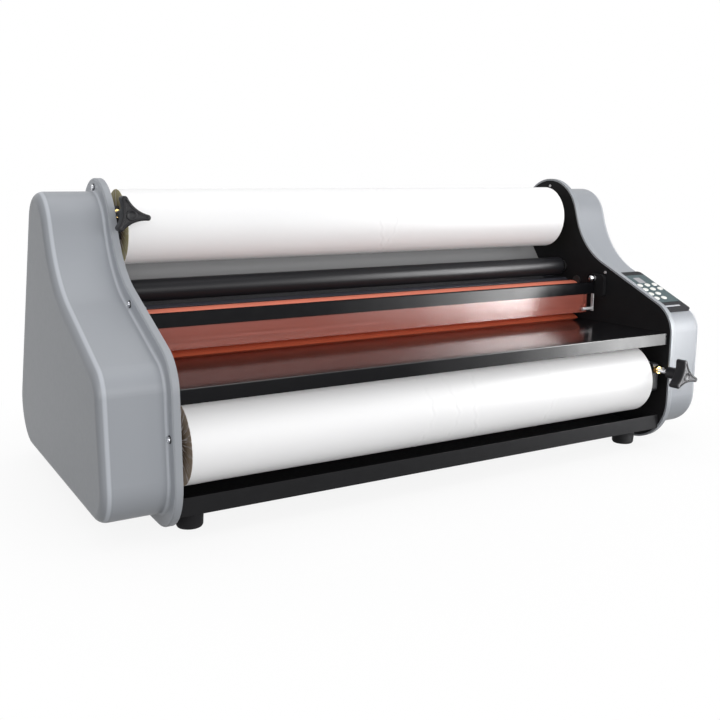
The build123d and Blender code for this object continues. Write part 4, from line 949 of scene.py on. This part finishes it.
def discs(name, places, low, high, radius):
    """Round discs on both sides, from low to high along X, with a small chamfer."""
    loop = unit_circle(32)
    section = np.array([(radius - 0.15, low), (radius, low + 0.12), (radius, high - 0.12),
                        (radius - 0.15, high)])
    sides = []
    for sign in (1, -1):
        flat = places[:, None, None, :] + section[None, :, 0, None, None] * loop[None, None]
        levels = np.broadcast_to(sign * section[None, :, 1, None], flat.shape[:-1])
        sides.append(placed(flat, levels, "x"))
    points = np.concatenate(sides).reshape(-1, 3)
    return pieces_mesh(name, points, ring_faces(4, 32, copies=2 * len(places)), crease=30)


class LAMINATOR_OT_feet(bpy.types.Operator):
    """Mould the four rubber feet"""
    bl_idname = "laminator.feet"
    bl_label = "Feet"

    def execute(self, context):
        low, high = box_of("feet")
        radius = 16.3
        profile = rounded([(0.0, 3.0, 0), (0.0, 13.9, 1.0), (2.4, 15.2, 1.5),
                           (22.0, radius, 1.0), (27.0, radius, 0.8), (27.0, 3.0, 0)], steps=4)
        middles = [(x, y) for x in (low[0] + radius, high[0] - radius)
                   for y in (low[1] + radius, high[1] - radius)]
        plane = np.array(middles)[:, None, None] + profile[None, :, 1, None, None] * unit_circle(64)
        points = placed(plane, np.broadcast_to(profile[None, :, 0, None], plane.shape[:-1]), "z")
        feet = pieces_mesh("rubber_feet", points, ring_faces(len(profile), 64, copies=4), crease=30)
        fitted(feet, "frame", FINISHES["black_rubber"], "feet")
        return {"FINISHED"}


class LAMINATOR_OT_control_panel(bpy.types.Operator):
    """Add the display glass and the pale strip to the control panel"""
    bl_idname = "laminator.control_panel"
    bl_label = "Control panel"

    def execute(self, context):
        glass = panel_tile("display_glass", across=(36.5, 50.1), down=(-25.2, -8.8), low=3.4, high=3.75,
                           corner=1.2)
        fitted(glass, "frame", display_glass("Display glass", (0.24, 0.24, 0.262)), slot="keypad_blue")
        strip = panel_tile("pale_strip", across=(20.5, 56.0), down=(56.4, 59.6), low=2.9, high=3.5,
                           corner=0.6)
        fitted(strip, "frame", key_plastic("Pale strip", (0.42, 0.43, 0.46)), slot="key_white")
        return {"FINISHED"}


def panel_tile(name, across, down, low, high, corner):
    """Rounded tile on the sloping panel: across from the plate, down the slope, low to high off it.

    The panel's origin lies above the bezel's lowest corner by the bezel's reach times the slope's sine.
    """
    slope = np.radians(24.0)
    plate_x, origin_y, bezel_reach = 365.0, -114.8, 70.0
    origin_z = box_of("control_bezel")[0][2] + bezel_reach * np.sin(slope)
    loop = rounded([(across[0], -down[0], corner), (across[1], -down[0], corner),
                    (across[1], -down[1], corner), (across[0], -down[1], corner)], closed=True, steps=5)
    section = edge_section(low, high, 0.12, 2)
    normals = outward(loop)
    plane = loop[None] + section[:, 0, None, None] * normals[None]
    level = section[:, 1, None]
    x = plate_x + plane[..., 0]
    y = origin_y + plane[..., 1] * np.cos(slope) - level * np.sin(slope)
    z = origin_z + plane[..., 1] * np.sin(slope) + level * np.cos(slope)
    points = np.stack([x, y, np.broadcast_to(z, x.shape)], -1)
    return pieces_mesh(name, points, ring_faces(len(section), len(loop)), crease=40)


# Name, place, goal, width and height of each lamp in metres, its power in watts, and whether only
# shiny faces see it.
LAMPS = [
    ("Front", (-0.1, -2.4, 0.6), (0.0, 0.0, 0.25), (2.6, 0.9), 40, False),
    ("Left", (-2.0, -0.5, 0.8), (0.0, 0.0, 0.2), (1.2, 1.2), 2, False),
    ("Top", (0.1, 0.0, 2.2), (0.0, 0.0, 0.0), (2.2, 1.4), 17, False),
    ("Side", (0.72, -0.75, 0.42), (0.2, 0.0, 0.2), (0.4, 0.5), 1.3, False),
    ("Glint", (-1.7, -0.75, 0.25), (-0.4, 0.0, 0.2), (0.3, 0.9), 14, True),
]
# A bright panel, brightest in its middle, whose reflection lies on the shield, the bar and the table.
PANEL_POWERS = (0.4, 0.8, 2.4, 6.6, 9.2, 4.6, 0.8)
LAMPS += [("Glint", (place, -0.5, 0.35), (place, 0.5, 0.35), (0.1, 0.6), power, True)
          for place, power in zip(np.arange(0.2, 0.85, 0.1), PANEL_POWERS)]


class LAMINATOR_OT_stage(bpy.types.Operator):
    """Set the white floor, the soft lights and the camera"""
    bl_idname = "laminator.stage"
    bl_label = "Stage"

    def execute(self, context):
        white_floor()
        white_world(context.scene)
        for lamp in LAMPS:
            soft_light(*lamp)
        camera_data = bpy.data.cameras.new("Camera")
        camera_data.sensor_width = 36.0
        camera_data.lens = 45.901
        camera_data.clip_start = 0.05
        camera = bpy.data.objects.new("Camera", camera_data)
        camera.location = (-0.66229, -1.09324, 0.37925)
        camera.rotation_euler = (np.pi / 2 - 0.19217, 0.0, -0.52730)
        context.scene.collection.objects.link(camera)
        context.scene.camera = camera
        context.scene.view_settings.view_transform = "Standard"
        return {"FINISHED"}


def soft_light(name, place, goal, size, power, gloss_only):
    """Rectangular area lamp that faces a goal, as wide and high as its size.

    A gloss only lamp shows in shiny faces, as a studio panel does, and adds no plain light.
    """
    lamp = bpy.data.lights.new(name, "AREA")
    lamp.shape = "RECTANGLE"
    lamp.size, lamp.size_y = size
    lamp.energy = power
    light = bpy.data.objects.new(name, lamp)
    light.location = place
    towards = light.location.copy()
    towards.xyz = [g - p for g, p in zip(goal, place)]
    light.rotation_euler = towards.to_track_quat("-Z", "Y").to_euler()
    light.visible_camera = False
    light.visible_diffuse = not gloss_only
    bpy.context.scene.collection.objects.link(light)


def white_floor():
    """Grey floor that the camera and gloss see as white, with a faint shadow near the machine."""
    reach = 6000
    floor = pieces_mesh("floor", [(-reach, -reach, -0.3), (reach, -reach, -0.3), (reach, reach, -0.3),
                                  (-reach, reach, -0.3)], [(0, 1, 2, 3)], smooth=False)
    finish = Finish("White floor", (0.9, 0.9, 0.9), 0.9, Specular_IOR_Level=0.0)
    tree = finish.tree
    glow = finish.node("Emission", None, {0: (1, 1, 1, 1), 1: 1.0})
    rays = finish.node("LightPath")
    camera = Value(tree, rays.outputs["Is Camera Ray"])
    finish.set("Base Color", finish.mix(camera, (0.16, 0.16, 0.16), (0.9, 0.9, 0.9)))
    seen = camera + Value(tree, rays.outputs["Is Glossy Ray"])
    seen = seen + Value(tree, rays.outputs["Is Transmission Ray"])
    x, y = finish.axes()[:2]
    distance = (x * x + y * y).root()
    shade = finish.spread(distance, 0.4, 0.7, sizes().floor_shade, 0.0)
    mix = finish.node("MixShader", None, {0: seen * (1 - shade), 1: finish.shader.outputs[0],
                                          2: glow.outputs[0]})
    tree.links.new(mix.outputs[0], tree.nodes["Material Output"].inputs[0])
    floor.data.materials.append(finish.material)


def white_world(scene):
    """World that shows white to the camera, to gloss and to glass, and is softer as a light."""
    world = bpy.data.worlds.new("Studio")
    scene.world = world
    world.use_nodes = True
    tree = world.node_tree
    background = tree.nodes["Background"]
    background.inputs["Color"].default_value = (1, 1, 1, 1)
    rays = tree.nodes.new("ShaderNodeLightPath")
    seen = Value(tree, rays.outputs["Is Camera Ray"]) + Value(tree, rays.outputs["Is Glossy Ray"])
    seen = (seen + Value(tree, rays.outputs["Is Transmission Ray"])) > 0.5
    tree.links.new((seen * 0.5 + 0.5).socket, background.inputs["Strength"])


class LAMINATOR_PT_panel(bpy.types.Panel):
    """Sidebar panel with the settings and one button for each group of pieces"""
    bl_idname = "LAMINATOR_PT_panel"
    bl_label = "Roll Laminator"
    bl_space_type = "VIEW_3D"
    bl_region_type = "UI"
    bl_category = "Laminator"

    def draw(self, context):
        for group in (context.scene.laminator_sizes, context.scene.laminator_colours):
            box = self.layout.box()
            for name in group.__annotations__:
                box.prop(group, name)
        for operator in OPERATORS:
            self.layout.operator(operator.bl_idname)


OPERATORS = (LAMINATOR_OT_finishes, LAMINATOR_OT_film_rolls, LAMINATOR_OT_rollers,
             LAMINATOR_OT_sheet_metal, LAMINATOR_OT_brake_knobs, LAMINATOR_OT_fasteners,
             LAMINATOR_OT_feet, LAMINATOR_OT_control_panel, LAMINATOR_OT_stage)
CLASSES = (LaminatorColours, LaminatorSizes, *OPERATORS, LAMINATOR_PT_panel)


def register():
    for item in CLASSES:
        bpy.utils.register_class(item)
    bpy.types.Scene.laminator_colours = bpy.props.PointerProperty(type=LaminatorColours)
    bpy.types.Scene.laminator_sizes = bpy.props.PointerProperty(type=LaminatorSizes)


def unregister():
    del bpy.types.Scene.laminator_sizes
    del bpy.types.Scene.laminator_colours
    for item in reversed(CLASSES):
        bpy.utils.unregister_class(item)


def main():
    register()
    for operator in OPERATORS:
        group, name = operator.bl_idname.split(".")
        getattr(getattr(bpy.ops, group), name)()


if __name__ == "__main__":
    main()
